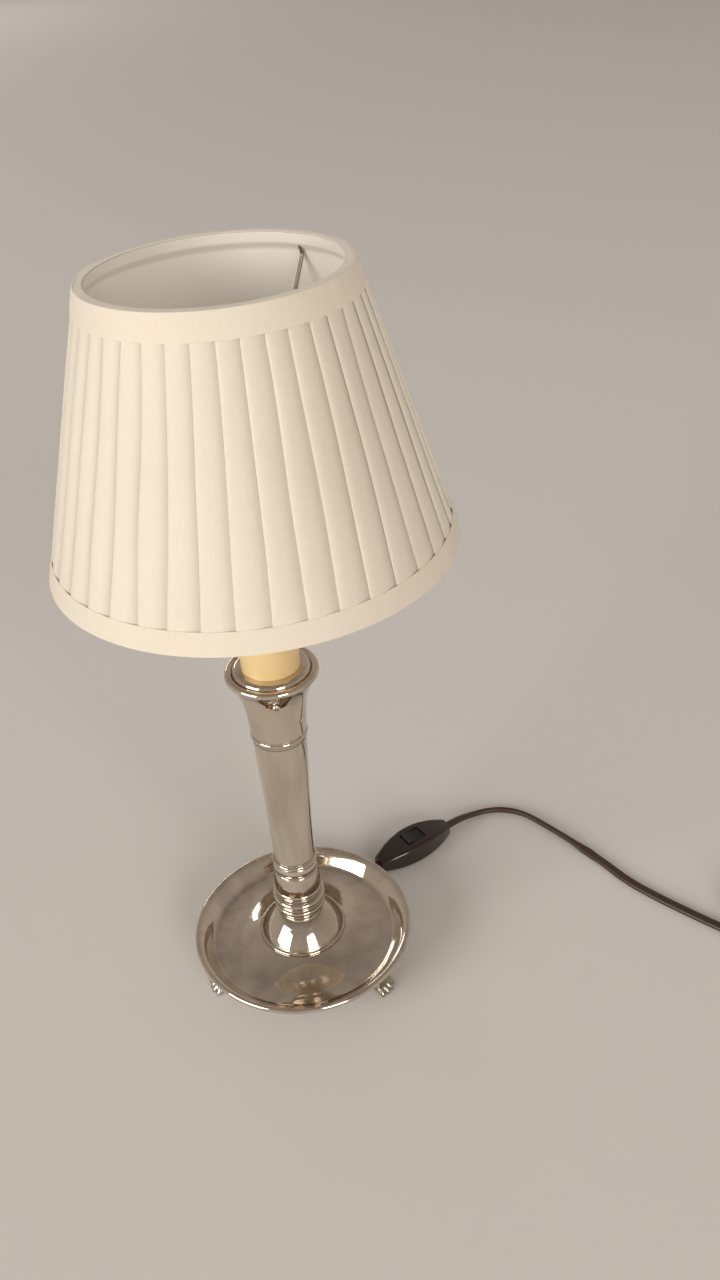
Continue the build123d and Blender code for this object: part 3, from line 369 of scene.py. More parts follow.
# the cover's deep value sets how strong the painted shade in its pleat valleys is
coverCloth = clothMaterial("coverCloth", (0.79, 0.72, 0.61), 2.2, 0.00005, deep=0.55)
trimCloth = clothMaterial("trimCloth", (0.80, 0.72, 0.605), 2.2, 0.00006)
liningCloth = clothMaterial("liningCloth", (0.82, 0.78, 0.73), 1.8, 0.00004, shift=0.05, sheen=0.05)


def frostedGlass(name):
    material, tree, shader = newMaterial(
        name, {"Base Color": (0.90, 0.885, 0.85, 1), "Transmission Weight": 0.25, "IOR": 1.46,
               "Coat Weight": 0.4})
    grain = placeEffect(tree, mouldGrain, {"Scale": 700.0, "Gloss": 0.3})
    feed(tree, shader, {"Roughness": grain.outputs["Roughness"]})
    bump(tree, shader, grain.outputs["Height"], 0.00001)
    return material


bulbGlass = frostedGlass("bulbGlass")
print("materials made")


def bead(radius, height, roll, start, end):
    # part of a circle about (radius, height), from one angle to the other
    count = max(4, int(abs(end - start) / 9))
    turn = np.radians(np.linspace(start, end, count))
    return np.stack([radius + roll * np.cos(turn), height + roll * np.sin(turn)], axis=1)


def bow(first, middle, last, count=16):
    # arc of the circle through three points
    a, b, c = (complex(*p) for p in (first, middle, last))
    w = (c - a) / (b - a)
    centre = a + (b - a) * (w - abs(w) ** 2) / (2j * w.imag)
    sweep = np.angle((b - centre) / (a - centre)) + np.angle((c - centre) / (b - centre))
    along = centre + (a - centre) * np.exp(1j * sweep * np.linspace(0, 1, count))
    return np.stack([along.real, along.imag], axis=1)


def flowing(points, count=40):
    # smooth line through the points: a cubic in height for each coordinate
    points = np.asarray(points, float)
    share = (points[:, 1] - points[0, 1]) / (points[-1, 1] - points[0, 1])
    fit = np.polyfit(share, points[:, 0], min(3, len(points) - 1))
    t = np.linspace(0, 1, count)
    return np.stack([np.polyval(fit, t), points[0, 1] + t * (points[-1, 1] - points[0, 1])], axis=1)


def through(points, parts=6):
    # smooth line through every point: each stretch is a cubic that leaves along its neighbours' chord
    points = np.asarray(points, float)
    before = np.concatenate([2 * points[:1] - points[1:2], points[:-1]])
    after = np.concatenate([points[1:], 2 * points[-1:] - points[-2:-1]])
    lean = (after - before) / 2
    t = np.linspace(0, 1, parts, endpoint=False)[:, None]
    line = [(2 * t ** 3 - 3 * t ** 2 + 1) * points[i] + (t ** 3 - 2 * t ** 2 + t) * lean[i]
            + (3 * t ** 2 - 2 * t ** 3) * points[i + 1] + (t ** 3 - t ** 2) * lean[i + 1]
            for i in range(len(points) - 1)]
    return np.concatenate([*line, points[-1:]])


def softOutline(stretches, soft, step, closed):
    # corners given as single points are rounded by a quadratic curve; long runs get more points
    raw = []
    for stretch in stretches:
        if isinstance(stretch, tuple):
            raw.append((np.array(stretch[:2], float), stretch[2] if len(stretch) > 2 else soft))
        else:
            raw += [(point, 0.0) for point in stretch]
    line = []
    for index, (corner, reach) in enumerate(raw):
        atEnd = not closed and index in (0, len(raw) - 1)
        if reach <= 0 or atEnd:
            line.append(corner[None])
            continue
        back = raw[index - 1][0] - corner
        ahead = raw[(index + 1) % len(raw)][0] - corner
        backLong, aheadLong = np.linalg.norm(back), np.linalg.norm(ahead)
        cut = min(reach, 0.45 * backLong, 0.45 * aheadLong)
        t = np.linspace(0, 1, 6)[:, None]
        start = corner + back / backLong * cut
        end = corner + ahead / aheadLong * cut
        line.append((1 - t) ** 2 * start + 2 * t * (1 - t) * corner + t ** 2 * end)
    line = np.concatenate(line)
    following = np.roll(line, -1, axis=0) if closed else line[1:]
    dense = []
    for point, after in zip(line, following):
        count = max(1, int(np.ceil(np.linalg.norm(after - point) / step)))
        dense.append(point + (after - point) * np.arange(count)[:, None] / count)
    if not closed:
        dense.append(line[-1:])
    dense = np.concatenate(dense)
    keep = np.linalg.norm(dense - np.roll(dense, 1, axis=0), axis=1) > 1e-6
    keep[0] = True
    return dense[keep]


def recessOf(outline, reach=2.6):
    # how far a point lies inside the mean of its neighbours along the outline, 0 to 1
    following = np.roll(outline, -1, axis=0)
    before = np.roll(outline, 1, axis=0)
    along = following - before
    along /= np.maximum(np.linalg.norm(along, axis=1), 1e-9)[:, None]
    normal = np.stack([along[:, 1], -along[:, 0]], axis=1)
    apart = outline[None] - outline[:, None]
    near = np.exp(-(apart ** 2).sum(-1) / (2 * (reach / 2) ** 2))
    facing = np.clip((normal[None] * normal[:, None]).sum(-1), 0, 1) ** 0.5
    near = near * facing
    mean = (near[..., None] * apart).sum(1) / near.sum(1)[:, None]
    return np.clip((mean * normal).sum(1) / 0.35, 0, 1)


def windsInward(across, up):
    # a closed line that runs clockwise has its faces inside
    return (across * np.roll(up, -1) - np.roll(across, -1) * up).sum() < 0


def capEnds(points, rings, around, low, high):
    # a point on the axis at each end of a stack of rings, joined to its ring by a fan
    count = len(points)
    j = np.arange(around)
    j2 = (j + 1) % around
    last = (rings - 1) * around
    fans = [np.stack([j2, j, np.full(around, count)], axis=1),
            np.stack([last + j, last + j2, np.full(around, count + 1)], axis=1)]
    return np.concatenate([points, [(0, 0, low), (0, 0, high)]]), fans


turnedUsual = {"soft": 0.3, "step": 1.0, "around": 160, "darkBands": [], "closed": True}


def turned(name, shape, material, body="root"):
    # the outline's radius and height carried round the stem's axis; an open outline begins and
    # ends on the axis. A dark band is a height and the reach of the darkening that sits there:
    # patina at joints and grooves, painted shade where a piece notes it
    spec = {**turnedUsual, **shape}
    around, closed = spec["around"], spec["closed"]
    outline = softOutline(spec["outline"], spec["soft"], spec["step"], closed)
    if windsInward(outline[:, 0], outline[:, 1]):
        outline = outline[::-1]
    recess = recessOf(outline)
    for height, reach in spec["darkBands"]:
        recess = np.maximum(recess, np.clip(1 - np.abs(outline[:, 1] - height) / reach, 0, 1) ** 1.5)
    rings = outline if closed else outline[1:-1]
    recess = np.repeat(recess if closed else recess[1:-1], around)
    turn = np.linspace(0, 2 * pi, around, endpoint=False)
    radius, height = rings[:, 0, None], rings[:, 1, None]
    points = aroundAxis(radius, turn, height).reshape(-1, 3)
    faces = [gridFaces(len(rings), around, closeRows=closed, closeCols=True)]
    if not closed:
        points, fans = capEnds(points, len(rings), around, outline[0, 1], outline[-1, 1])
        faces += fans
        recess = np.append(recess, [0, 0])
    mesh = putMesh(name, points, faces)
    pointValues(mesh, "recess", recess)
    return showPiece(name, mesh, material, body, spec["nodes"])


stemBore = 5.4
dishFloor, dishUnder = 17.0, 15.6
columnSwell = [(12.6, 90.0), (12.9, 112.0), (13.9, 140.0), (14.8, 163.0), (15.7, 184.0)]
columnWall = 1.6

# corners are (radius, height), with a third number where the corner is rounded by more or less than usual
silverTurnings = {
    # the inside falls from the dome to a shallow ring near the wall, then turns up to the rolled rim
    "dish": {"nodes": ["base_dish"], "around": 256, "outline": [
        (stemBore, dishUnder), (58.9, dishUnder, 5.2), (65.2, 23.4, 2.0), bead(68.0, 25.0, 2.0, -126, 132),
        through([(66.4, 26.4), (65.3, 25.6), (63.7, 23.9), (62.0, 21.8), (60.3, 19.6), (58.9, 18.05),
                 (57.4, 17.2), (55.4, 16.9), (52.5, 16.82), (49.5, 17.0), (45.5, 17.65), (41.0, 18.85),
                 (36.0, 20.7), (31.5, 22.8), (27.8, 24.9), (26.9, 24.9)]),
        (26.6, dishFloor, 0.1), (stemBore, dishFloor)]},
    "dome": {"nodes": ["base_dome"], "darkBands": [(24.3, 1.0), (43.0, 0.9)], "outline": [
        (24.4, dishFloor), (26.2, dishFloor), (26.2, 24.2, 0.1), bead(26.3, 25.9, 1.3, -80, 100),
        bow((25.95, 27.2), (22.38, 32.57), (18.2, 37.6)), bow((17.9, 37.9), (15.8, 40.0), (13.4, 41.6), 10),
        (12.9, 42.96, 0.8), (stemBore, 43.0), (stemBore, 41.0), (12.6, 41.0),
        bow((12.8, 40.9), (20.2, 34.9), (24.4, 26.2))]},
    "stemRings": {"nodes": ["stem_rings"], "step": 0.6,
                  "darkBands": [(43.0, 0.9), (46.7, 0.3), (53.3, 0.3), (60.4, 1.4)], "outline": [
        (stemBore, 43.0), (12.9, 43.0), (13.2, 45.0, 0.1), bead(13.6, 45.8, 0.8, -88, 84), (13.6, 46.8, 0.1),
        bead(13.7, 49.4, 2.3, -88, 72), bead(14.5, 52.4, 0.7, -56, 64), (14.3, 53.4, 0.1),
        bead(13.9, 56.1, 2.5, -78, 82), (13.3, 59.3), (13.1, 61.0), (stemBore, 61.0)]},
    "stemKnop": {"nodes": ["stem_knop"], "darkBands": [(78.0, 0.8)], "outline": [
        (stemBore, 61.0), (14.2, 61.0, 0.3), bead(13.3, 63.2, 1.75, -58, 50),
        bow((14.6, 64.7), (14.25, 70.5), (13.5, 77.0)), (13.2, 78.0), (stemBore, 78.0)]},
    "stemBand": {"nodes": ["stem_band"], "step": 0.6,
                 "darkBands": [(80.0, 0.5), (86.2, 0.5), (90.0, 0.8)], "outline": [
        (stemBore, 78.0), (13.0, 78.0, 0.1), bead(13.1, 78.9, 0.75, -80, 80), (13.1, 80.0, 0.1),
        bow((13.4, 80.3), (13.85, 82.8), (13.3, 85.5), 10), (12.9, 86.2, 0.2), bead(12.6, 87.9, 1.4, -82, 77),
        (12.8, 90.0), (stemBore, 90.0)]},
    "column": {"nodes": ["column"], "step": 1.6, "darkBands": [(90.0, 0.8), (184.0, 0.8)], "outline": [
        (stemBore, 90.0), flowing(columnSwell), (stemBore, 184.0), (stemBore, 181.0),
        flowing([(r - columnWall, z) for r, z in columnSwell])[::-1][2:-2], (stemBore, 93.0)]},
    "collar": {"nodes": ["collar"], "step": 0.8, "darkBands": [(184.0, 0.6), (189.0, 0.8)], "outline": [
        (stemBore, 184.0), (15.6, 184.0, 0.2), (15.7, 185.7, 0.2), bead(15.3, 187.1, 1.3, -66, 66),
        (15.8, 189.0), (stemBore, 189.0)]},
    # the cup's broad dark band at 225 is painted shade under the rim
    "nozzleCup": {"nodes": ["nozzle_cup"], "darkBands": [(189.0, 0.8), (225.0, 5.0)], "outline": [
        (stemBore, 189.0), (16.1, 189.0), (16.9, 199.0, 2.0),
        through([(17.0, 201.0), (17.6, 206.0), (18.5, 211.2), (19.85, 216.0), (21.3, 219.9), (22.9, 223.6),
                 (24.7, 226.85)]),
        bead(24.1, 229.0, 2.2, -72, 219),
        through([(22.3, 227.4), (20.9, 223.6), (19.2, 219.4), (17.9, 215.0), (16.8, 210.5), (15.4, 199.0)]),
        (14.6, 191.0), (stemBore, 191.0)]},
    # the seat's dark band at 229.3 is painted shade in the groove by the cup's rim
    "candleSeat": {"nodes": ["candle_seat"], "step": 0.8, "darkBands": [(229.3, 1.4)], "outline": [
        (stemBore, 231.8), (17.0, 231.8), (21.5, 228.2), (22.15, 229.3),
        bow((22.0, 230.0), (21.3, 231.9), (19.5, 233.1), 10), (17.0, 233.3), (stemBore, 233.3)]},
}
for name, shape in silverTurnings.items():
    turned(name, shape, silverPlate)

candleShape = {"nodes": ["candle_tube"], "step": 2.0, "outline": [
    (15.5, 233.3), (16.4, 233.3), (16.4, 325.0, 0.5), (15.5, 325.0, 0.3)]}
turned("candleTube", candleShape, candleSleeve)

bulbShape = {"nodes": ["bulb_glass"], "closed": False, "outline": [
    (0, 320.6), (11.7, 320.6), (12.5, 322.5), bow((12.7, 323.4), (16.1, 334.6), (17.5, 348.0)),
    bow((17.5, 348.4), (17.1, 357.2), (15.9, 366.0)), bow((15.8, 366.5), (12.6, 379.2), (7.6, 390.0)),
    bow((7.4, 390.4), (4.6, 396.2), (1.6, 401.0), 12), (0, 402.0)]}
turned("bulbGlass", bulbShape, bulbGlass, body="bulb")

capShape = {"base": 296.0, "top": 322.5, "radius": 13.2, "wall": 0.6, "deep": 6.0, "depth": 0.75, "pitch": 3.63}


def threadedCap(spec):
    # radius of the cap's wall falls and rises with height minus turn: a rolled screw thread
    base, top, wide, inside = spec["base"], spec["top"], spec["radius"], spec["radius"] - spec["wall"]
    turn = np.linspace(0, 2 * pi, 96, endpoint=False)
    outline = softOutline([
        (0, base), (8.5, base), (11.2, base + 3.6), (wide, base + 4.6), (wide, top),
        (inside, top), (inside, base + spec["deep"]), (0, base + spec["deep"]),
    ], 0.3, 0.45, False)[1:-1]
    radius, height = outline[:, 0, None], outline[:, 1, None]
    onWall = np.clip((radius - wide + 0.3) / 0.25, 0, 1)
    onWall *= np.clip((height - base - 5) / 1.5, 0, 1) * np.clip((top - 2 - height) / 1.5, 0, 1)
    radius = radius - onWall * spec["depth"] * (0.5 - 0.5 * np.cos(2 * pi * height / spec["pitch"] - turn))
    points = aroundAxis(radius, turn, height).reshape(-1, 3)
    points, fans = capEnds(points, len(outline), len(turn), base, base + spec["deep"])
    mesh = putMesh("bulbCap", points, [gridFaces(len(outline), len(turn), closeCols=True), *fans])
    return showPiece("bulbCap", mesh, nickelPlate, "bulb", ["bulb_cap"])


threadedCap(capShape)
print("turned pieces made")


def ballChain(centres, radii, sides=24, caps=6):
    # closed tube through the centres: rings square to the line, ends rounded off to a point
    centres = np.asarray(centres, float)
    share = np.linspace(0, 1, len(centres))
    fine = np.linspace(0, 1, 6 * (len(centres) - 1) + 1)
    line = np.stack([np.interp(fine, share, centres[:, k]) for k in range(3)], axis=1)
    wide = np.interp(fine, share, radii)
    tilt = np.linspace(0, pi / 2, caps)
    first = line[0] + unit(line[0] - line[1]) * (radii[0] * np.sin(tilt[::-1]))[:, None]
    last = line[-1] + unit(line[-1] - line[-2]) * (radii[-1] * np.sin(tilt))[:, None]
    line = np.concatenate([first, line[1:-1], last])
    wide = np.concatenate([radii[0] * np.cos(tilt[::-1]), wide[1:-1], radii[-1] * np.cos(tilt)])
    wide = np.maximum(wide, 0.02)
    along = unit(np.gradient(line, axis=0))
    side = unit(np.cross(along, (0.0, 0.31, 0.95)))
    rise = np.cross(side, along)
    turn = np.linspace(0, 2 * pi, sides, endpoint=False)
    rings = (line[:, None] + wide[:, None, None] * (np.cos(turn)[:, None] * side[:, None]
                                                    + np.sin(turn)[:, None] * rise[:, None]))
    points = rings.reshape(-1, 3)
    faces = gridFaces(len(line), sides, closeCols=True)
    lids = [list(range(sides))[::-1], list(range(len(points) - sides, len(points)))]
    return points, faces.tolist() + lids


# one paw facing +X, in balls with their radii: a leg that swells up to the dish, the two sides
# of a pad, and a curl on the leg. A toe and its coarser claw are given as (outward, height)
pawShape = {
    "azimuths": (-41.0, 79.0, 199.0), "voxel": 0.34, "smoothing": 3,
    "balls": [
        ([(52.4, 0, 17.5), (53.6, 0, 13.5), (55.2, 0, 9.5), (56.6, 0, 6.2), (57.0, 0, 4.0)],
         [5.2, 4.5, 3.8, 4.0, 4.0]),
        ([(54.6, -2.4, 3.2), (57.0, -2.2, 3.0), (59.5, -1.8, 2.8)], [3.2, 3.3, 2.8]),
        ([(54.6, 2.4, 3.2), (57.0, 2.2, 3.0), (59.5, 1.8, 2.8)], [3.2, 3.3, 2.8]),
        ([(51.2, 0, 16.2), (50.0, 0, 14.4), (50.6, 0, 12.6)], [3.4, 2.2, 1.2]),
    ],
    "toes": 4, "spread": 19.0, "heel": 53.4, "toeRoot": 4.0,
    "toe": [([(0, 5.6), (2.6, 4.9), (5.0, 3.7), (7.0, 2.3), (7.8, 1.7)], [1.7, 2.1, 2.15, 1.8, 1.5]),
            ([(7.6, 1.9), (9.0, 1.2), (9.7, 0.6)], [0.95, 0.65, 0.25], 12, 3)],
    # the last three numbers darken the paw towards its sole and paint shade on faces that point down
    "soleDarkHeight": 1.9, "soleDarkReach": 2.5, "paintedUnderShade": 0.35,
}


def pawFeet(spec):
    # the balls of one paw joined into one skin, which is turned round the stem to each azimuth
    shells = [ballChain(*balls) for balls in spec["balls"]]
    for toe in range(spec["toes"]):
        way = heading((toe - (spec["toes"] - 1) / 2) * spec["spread"])
        root = np.array((spec["heel"], 0, 0)) + way * spec["toeRoot"]
        for line, *rest in spec["toe"]:
            shells.append(ballChain([root + way * out + (0, 0, high) for out, high in line], *rest))
    points, faces, start = [], [], 0
    for shellPoints, shellFaces in shells:
        points.append(shellPoints)
        faces += [[index + start for index in face] for face in shellFaces]
        start += len(shellPoints)
    rough = bpy.data.meshes.new("pawRough")
    rough.from_pydata(np.concatenate(points).tolist(), [], faces)
    holder = bpy.data.objects.new("pawRough", rough)
    skin = holder.modifiers.new("skin", "REMESH")
    skin.mode = "VOXEL"
    skin.voxel_size = spec["voxel"]
    holder.modifiers.new("ease", "SMOOTH").iterations = spec["smoothing"]
    solid = takeMesh(holder)
    one = readVectors(solid.vertices, "co")
    quads = np.array([list(face.vertices) for face in solid.polygons])
    under = np.clip(-readVectors(solid.vertex_normals, "vector")[:, 2], 0, 1)
    # flat sole on the table, flat seat under the dish
    one[:, 2] = np.clip(one[:, 2], 0.0, dishUnder)
    # darker towards the sole, and painted shade on faces that point down
    hollow = np.clip((spec["soleDarkHeight"] - one[:, 2]) / spec["soleDarkReach"], 0, 0.5) + under * spec["paintedUnderShade"]
    allPoints, allFaces = [], []
    for index, azimuth in enumerate(spec["azimuths"]):
        c, s = cos(radians(azimuth)), sin(radians(azimuth))
        x, y, z = one.T
        allPoints.append(np.stack([x * c - y * s, x * s + y * c, z], axis=1))
        allFaces.append(quads + index * len(one))
    mesh = putMesh("pawFeet", np.concatenate(allPoints), allFaces, crease=50)
    pointValues(mesh, "recess", np.tile(hollow, len(spec["azimuths"])))
    return showPiece("pawFeet", mesh, castSilver, "root", ["paw_feet"])


pawFeet(pawShape)
print("feet made")


shadeShape = {
    "bottom": 310.0, "tall": 139.7, "low": 104.6, "high": 63.6, "lean": (-0.0207, 0.0171),
    "pleats": 40, "start": 244.4, "twist": 4.5, "edge": 1.0,
    "trimLow": 11.0, "trimHigh": 12.0, "cloth": 0.6,
}
leanX, leanY = shadeShape["lean"]
shadeUp = Vector((leanX, leanY, 1)).normalized()
shadeSide = Vector((1, 0, -leanX)).normalized()
shadeAcross = shadeUp.cross(shadeSide)
shadeTurn = np.array((shadeSide, shadeAcross, shadeUp))


def coneRadius(height, inset=0.0):
    # falls evenly from the lower edge to the upper one, less the inset
    slope = (shadeShape["high"] - shadeShape["low"]) / shadeShape["tall"]
    return shadeShape["low"] + slope * height - inset


def onShade(radius, azimuth, height):
    # cylinder coordinates about the leaning shade's own axis to points in millimetres
    return aroundAxis(radius, azimuth, height) @ shadeTurn + (0, 0, shadeShape["bottom"])


# a pleat's section is given as (share of the way to the next fold, depth behind the cone); the
# folds waver in degrees, and near the trims they are pressed towards one depth
overlap = 0.42
pleatShape = {
    "overlap": overlap, "thick": 0.16, "rows": 66, "waver": 0.26, "seed": 11, "waves": 5,
    "section": [
        (0.000, 1.30), (0.010, 0.96), (0.040, 0.68), (0.10, 0.46), (0.18, 0.33), (0.28, 0.31), (0.42, 0.44),
        (0.58, 0.72), (0.74, 1.10), (0.90, 1.50), (1.05, 1.82), (1 + overlap * 0.7, 2.00), (1 + overlap, 2.04),
        (1 + overlap * 0.97, 1.89), (1 + overlap * 0.6, 1.74), (1.06, 1.55)],
    "liftSpread": 0.07, "liftWander": 0.05, "liftReach": 0.6,
    "pressLow": 0.11, "pressHigh": 0.12, "leastDepth": 0.62, "meanDepth": 1.2, "towardsMean": 0.2,
    # the depth beyond which painted shade greys the pleat valleys, and the depth over which it grows
    "paintedShadeFrom": 0.95, "paintedShadeOver": 0.95,
}


def nextRound(folds):
    # the fold that follows each fold, the first once more after the last
    return np.concatenate([folds[:, 1:], folds[:, :1] + 360.0], axis=1)


def pleatedCover(spec):
    # section: each pleat's face slopes in from its proud fold, passes under the next fold, turns
    # back on itself and comes out again at that fold; the section is carried up the leaning cone
    # with a slow turn, and every fold wavers a little in place and in depth
    section = np.array(spec["section"])
    pleats = shadeShape["pleats"]
    rng = np.random.default_rng(spec["seed"])
    up = np.linspace(0, 1, spec["rows"])
    freq = rng.uniform(0.4, 1.7, (pleats, spec["waves"]))
    phase = rng.uniform(0, 2 * pi, (pleats, spec["waves"]))
    size = rng.normal(0, 1, (pleats, spec["waves"])) * 0.5
    wander = (size[:, :, None] * np.sin(freq[:, :, None] * up * 2 * pi + phase[:, :, None])).sum(1)
    lift = rng.normal(0, spec["liftSpread"], pleats)[:, None] + spec["liftWander"] * np.roll(wander, 3, axis=0)
    # fold lines in degrees, [row, pleat]
    folds = (shadeShape["start"] + 360.0 / pleats * np.arange(pleats)[None]
             + shadeShape["twist"] * up[:, None] + spec["waver"] * wander.T)
    nextFold = nextRound(folds)
    share = section[:, 0]
    azimuth = np.where(share <= 1, folds[:, :, None] + (nextFold - folds)[:, :, None] * share,
                       nextFold[:, :, None] + (nextRound(nextFold) - nextFold)[:, :, None] * (share - 1))
    inset = section[:, 1] - np.clip(1 - share / spec["liftReach"], 0, 1) * lift.T[:, :, None]
    pressed = np.exp(-(up / spec["pressLow"]) ** 2) + np.exp(-((up - 1.0) / spec["pressHigh"]) ** 2)
    pressed = pressed[:, None, None]
    inset = inset + (np.maximum(inset, spec["leastDepth"]) - inset) * pressed
    inset = inset + (spec["meanDepth"] - inset) * spec["towardsMean"] * pressed
    height = shadeShape["edge"] + (shadeShape["tall"] - 2 * shadeShape["edge"]) * up
    columns = pleats * len(section)
    azimuth = np.radians(azimuth.reshape(len(up), columns))
    inset = inset.reshape(len(up), columns)
    middle = onShade(coneRadius(height[:, None], inset), azimuth, height[:, None])
    aside = np.roll(middle, -1, axis=1) - np.roll(middle, 1, axis=1)
    normal = unit(np.cross(aside, np.gradient(middle, axis=0)))
    faceOut = (middle + normal * spec["thick"] / 2).reshape(-1, 3)
    faceIn = (middle - normal * spec["thick"] / 2).reshape(-1, 3)
    count = len(faceOut)
    outside = gridFaces(len(up), columns, closeCols=True)
    inside = outside[:, ::-1] + count
    j = np.arange(columns)
    j2 = (j + 1) % columns
    last = (len(up) - 1) * columns
    hems = [np.stack([j2, j, j + count, j2 + count], axis=1),
            np.stack([last + j, last + j2, last + j2 + count, last + j + count], axis=1)]
    mesh = putMesh("pleatedCover", np.concatenate([faceOut, faceIn]), [outside, inside, *hems], crease=60)
    lengths = np.linalg.norm(np.roll(middle, -1, axis=1) - middle, axis=-1)[len(up) // 2]
    across = np.concatenate([[0], np.cumsum(lengths)[:-1]])
    flat = np.stack(np.broadcast_arrays(across[None], height[:, None]), axis=-1).reshape(-1, 2)
    cornerUv(mesh, np.concatenate([flat, flat]))
    # painted shade: the deeper the cloth lies in a pleat valley, the greyer it is drawn
    hollow = np.clip((inset - spec["paintedShadeFrom"]) / spec["paintedShadeOver"], 0, 1).ravel()
    pointValues(mesh, "recess", np.concatenate([hollow, hollow]))
    piece = showPiece("pleatedCover", mesh, coverCloth, "shade", ["pleated_cover"])
    return piece


pleatedCover(pleatShape)


bandUsual = {"around": 360, "pucker": 0.0, "laps": [], "soft": 0.25, "step": 1.5, "seed": 3}
lapShape = {"rise": 0.3, "edge": 0.25, "fade": 2.0, "deep": 0.55}


def shadeBand(name, band, material):
    # closed section of inset and height carried round the shade's axis; its puckers are a sum of
    # sines of the turn, and a lap lifts the outside over a few degrees from an azimuth
    spec = {**bandUsual, **band}
    outline = softOutline(spec["corners"], spec["soft"], spec["step"], True)
    radii = coneRadius(outline[:, 1], outline[:, 0])
    if windsInward(radii, outline[:, 1]):
        outline, radii = outline[::-1], radii[::-1]
    turn = np.linspace(0, 2 * pi, spec["around"], endpoint=False)
    rng = np.random.default_rng(spec["seed"])
    swell = np.zeros(len(turn))
    for count in (7, 13, 23, 41, 67):
        swell += rng.normal(0, 1) * np.sin(count * turn + rng.uniform(0, 2 * pi)) / count ** 0.5
    radius = radii[:, None] + spec["pucker"] * swell
    outside = np.clip(1 - outline[:, 0] / lapShape["deep"], 0, 1)[:, None]
    for azimuth, wide in spec["laps"]:
        apart = (np.degrees(turn) - azimuth + 180) % 360 - 180
        on = np.clip(apart / lapShape["edge"] + 0.5, 0, 1) * np.clip((wide - apart) / lapShape["fade"], 0, 1)
        radius = radius + lapShape["rise"] * on * outside
    points = onShade(radius, turn, outline[:, 1:]).reshape(-1, 3)
    faces = gridFaces(len(outline), len(turn), closeRows=True, closeCols=True)
    mesh = putMesh(name, points, [faces], crease=50)
    # the seam of the pattern lies where the last column meets the first
    flat = np.broadcast_arrays(radii.mean() * turn[None], runAlong(outline)[:, None])
    cornerUv(mesh, np.stack(flat, axis=-1).reshape(-1, 2))
    return showPiece(name, mesh, material, "shade", spec["nodes"])


tall = shadeShape["tall"]
lowEdge, highEdge = shadeShape["trimLow"], tall - shadeShape["trimHigh"]
cloth = shadeShape["cloth"]
liningShape = {
    # the lining is turned over the upper ring and comes up behind the trim
    "nodes": ["shade_lining"], "step": 6.0, "soft": 0.1, "corners": [
        (2.3, 1.0), (2.3, tall - 1.0), (2.8, tall - 1.0), (2.8, tall - 0.45, 0.1), (5.6, tall - 0.45, 0.3),
        (5.75, tall - 5.6, 0.8), (2.95, tall - 9.4, 1.2), (2.8, 1.0)]}
lowerTrimShape = {"nodes": ["lower_trim"], "pucker": 0.05, "laps": [(330.0, 6.0)], "corners": [
    (0.0, 0.0, 0.5), (0.0, 7.0, 0.6), (0.3, lowEdge, 0.15), (cloth, lowEdge, 0.1),
    (cloth, 0.8, 0.2), (5.3, 0.8, 0.2), (5.3, 7.0, 0.2), (5.7, 7.0, 0.2), (5.7, 0.0, 0.6)]}
upperTrimShape = {"nodes": ["upper_trim"], "pucker": 0.05, "laps": [(318.0, 7.0)], "seed": 5, "corners": [
    (0.0, tall, 0.5), (0.0, tall - 8.0, 0.6), (0.3, highEdge, 0.15), (cloth, highEdge, 0.1),
    (cloth, tall - 0.35, 0.1), (4.6, tall - 0.35, 0.1), (4.6, tall, 0.2)]}
shadeBand("shadeLining", liningShape, liningCloth)
shadeBand("lowerTrim", lowerTrimShape, trimCloth)
shadeBand("upperTrim", upperTrimShape, trimCloth)
print("shade made")


flexShape = {"wide": 6.3, "thick": 3.9, "onTable": 2.0}


def routeLine(points, name):
    # the route as a smooth spline, read back as closely spaced points in millimetres
    data = bpy.data.curves.new(name, "CURVE")
    data.dimensions = "3D"
    data.resolution_u = 10
    spline = data.splines.new("NURBS")
    spline.points.add(len(points) - 1)
    for knot, point in zip(spline.points, points):
        knot.co = (*(np.asarray(point, float) * mm), 1)
    spline.order_u = 3
    spline.use_endpoint_u = True
    line = takeMesh(bpy.data.objects.new(name, data))
    return readVectors(line.vertices, "co") / mm


def flatFlex(name, route, nodes, twists=(), every=1.6, sides=20):
    # oval section, two half circles joined by straights, carried along the route with its wide
    # side level; a twist turns the section about the route and lifts it to stay on the table
    path = routeLine(route, name + "Route")
    run = runAlong(path)
    even = np.linspace(0, run[-1], int(run[-1] / every))
    path = np.stack([np.interp(even, run, path[:, k]) for k in range(3)], axis=1)
    along = unit(np.gradient(path, axis=0))
    side = unit(np.cross((0, 0, 1.0), along))
    rise = np.cross(along, side)
    roll = np.zeros(len(even))
    for at, spread, amount in twists:
        roll += radians(amount) * np.exp(-((even - at) / spread) ** 2)
    half = flexShape["thick"] / 2
    straight = flexShape["wide"] / 2 - half
    path[:, 2] += straight * np.abs(np.sin(roll))
    turn = np.linspace(0, 2 * pi, sides, endpoint=False) + pi / sides
    u = half * np.cos(turn) + straight * np.sign(np.cos(turn))
    v = half * np.sin(turn)
    c, s = np.cos(roll)[:, None], np.sin(roll)[:, None]
    aside, upward = (u * c - v * s)[..., None], (u * s + v * c)[..., None]
    points = (path[:, None] + aside * side[:, None] + upward * rise[:, None]).reshape(-1, 3)
    lids = [[list(range(sides))[::-1]], [list(range(len(points) - sides, len(points)))]]
    mesh = putMesh(name, points, [gridFaces(len(path), sides, closeCols=True), *lids], crease=60)
    piece = showPiece(name, mesh, flexSheath, "root", nodes)
    return piece, path * mm, run[-1]


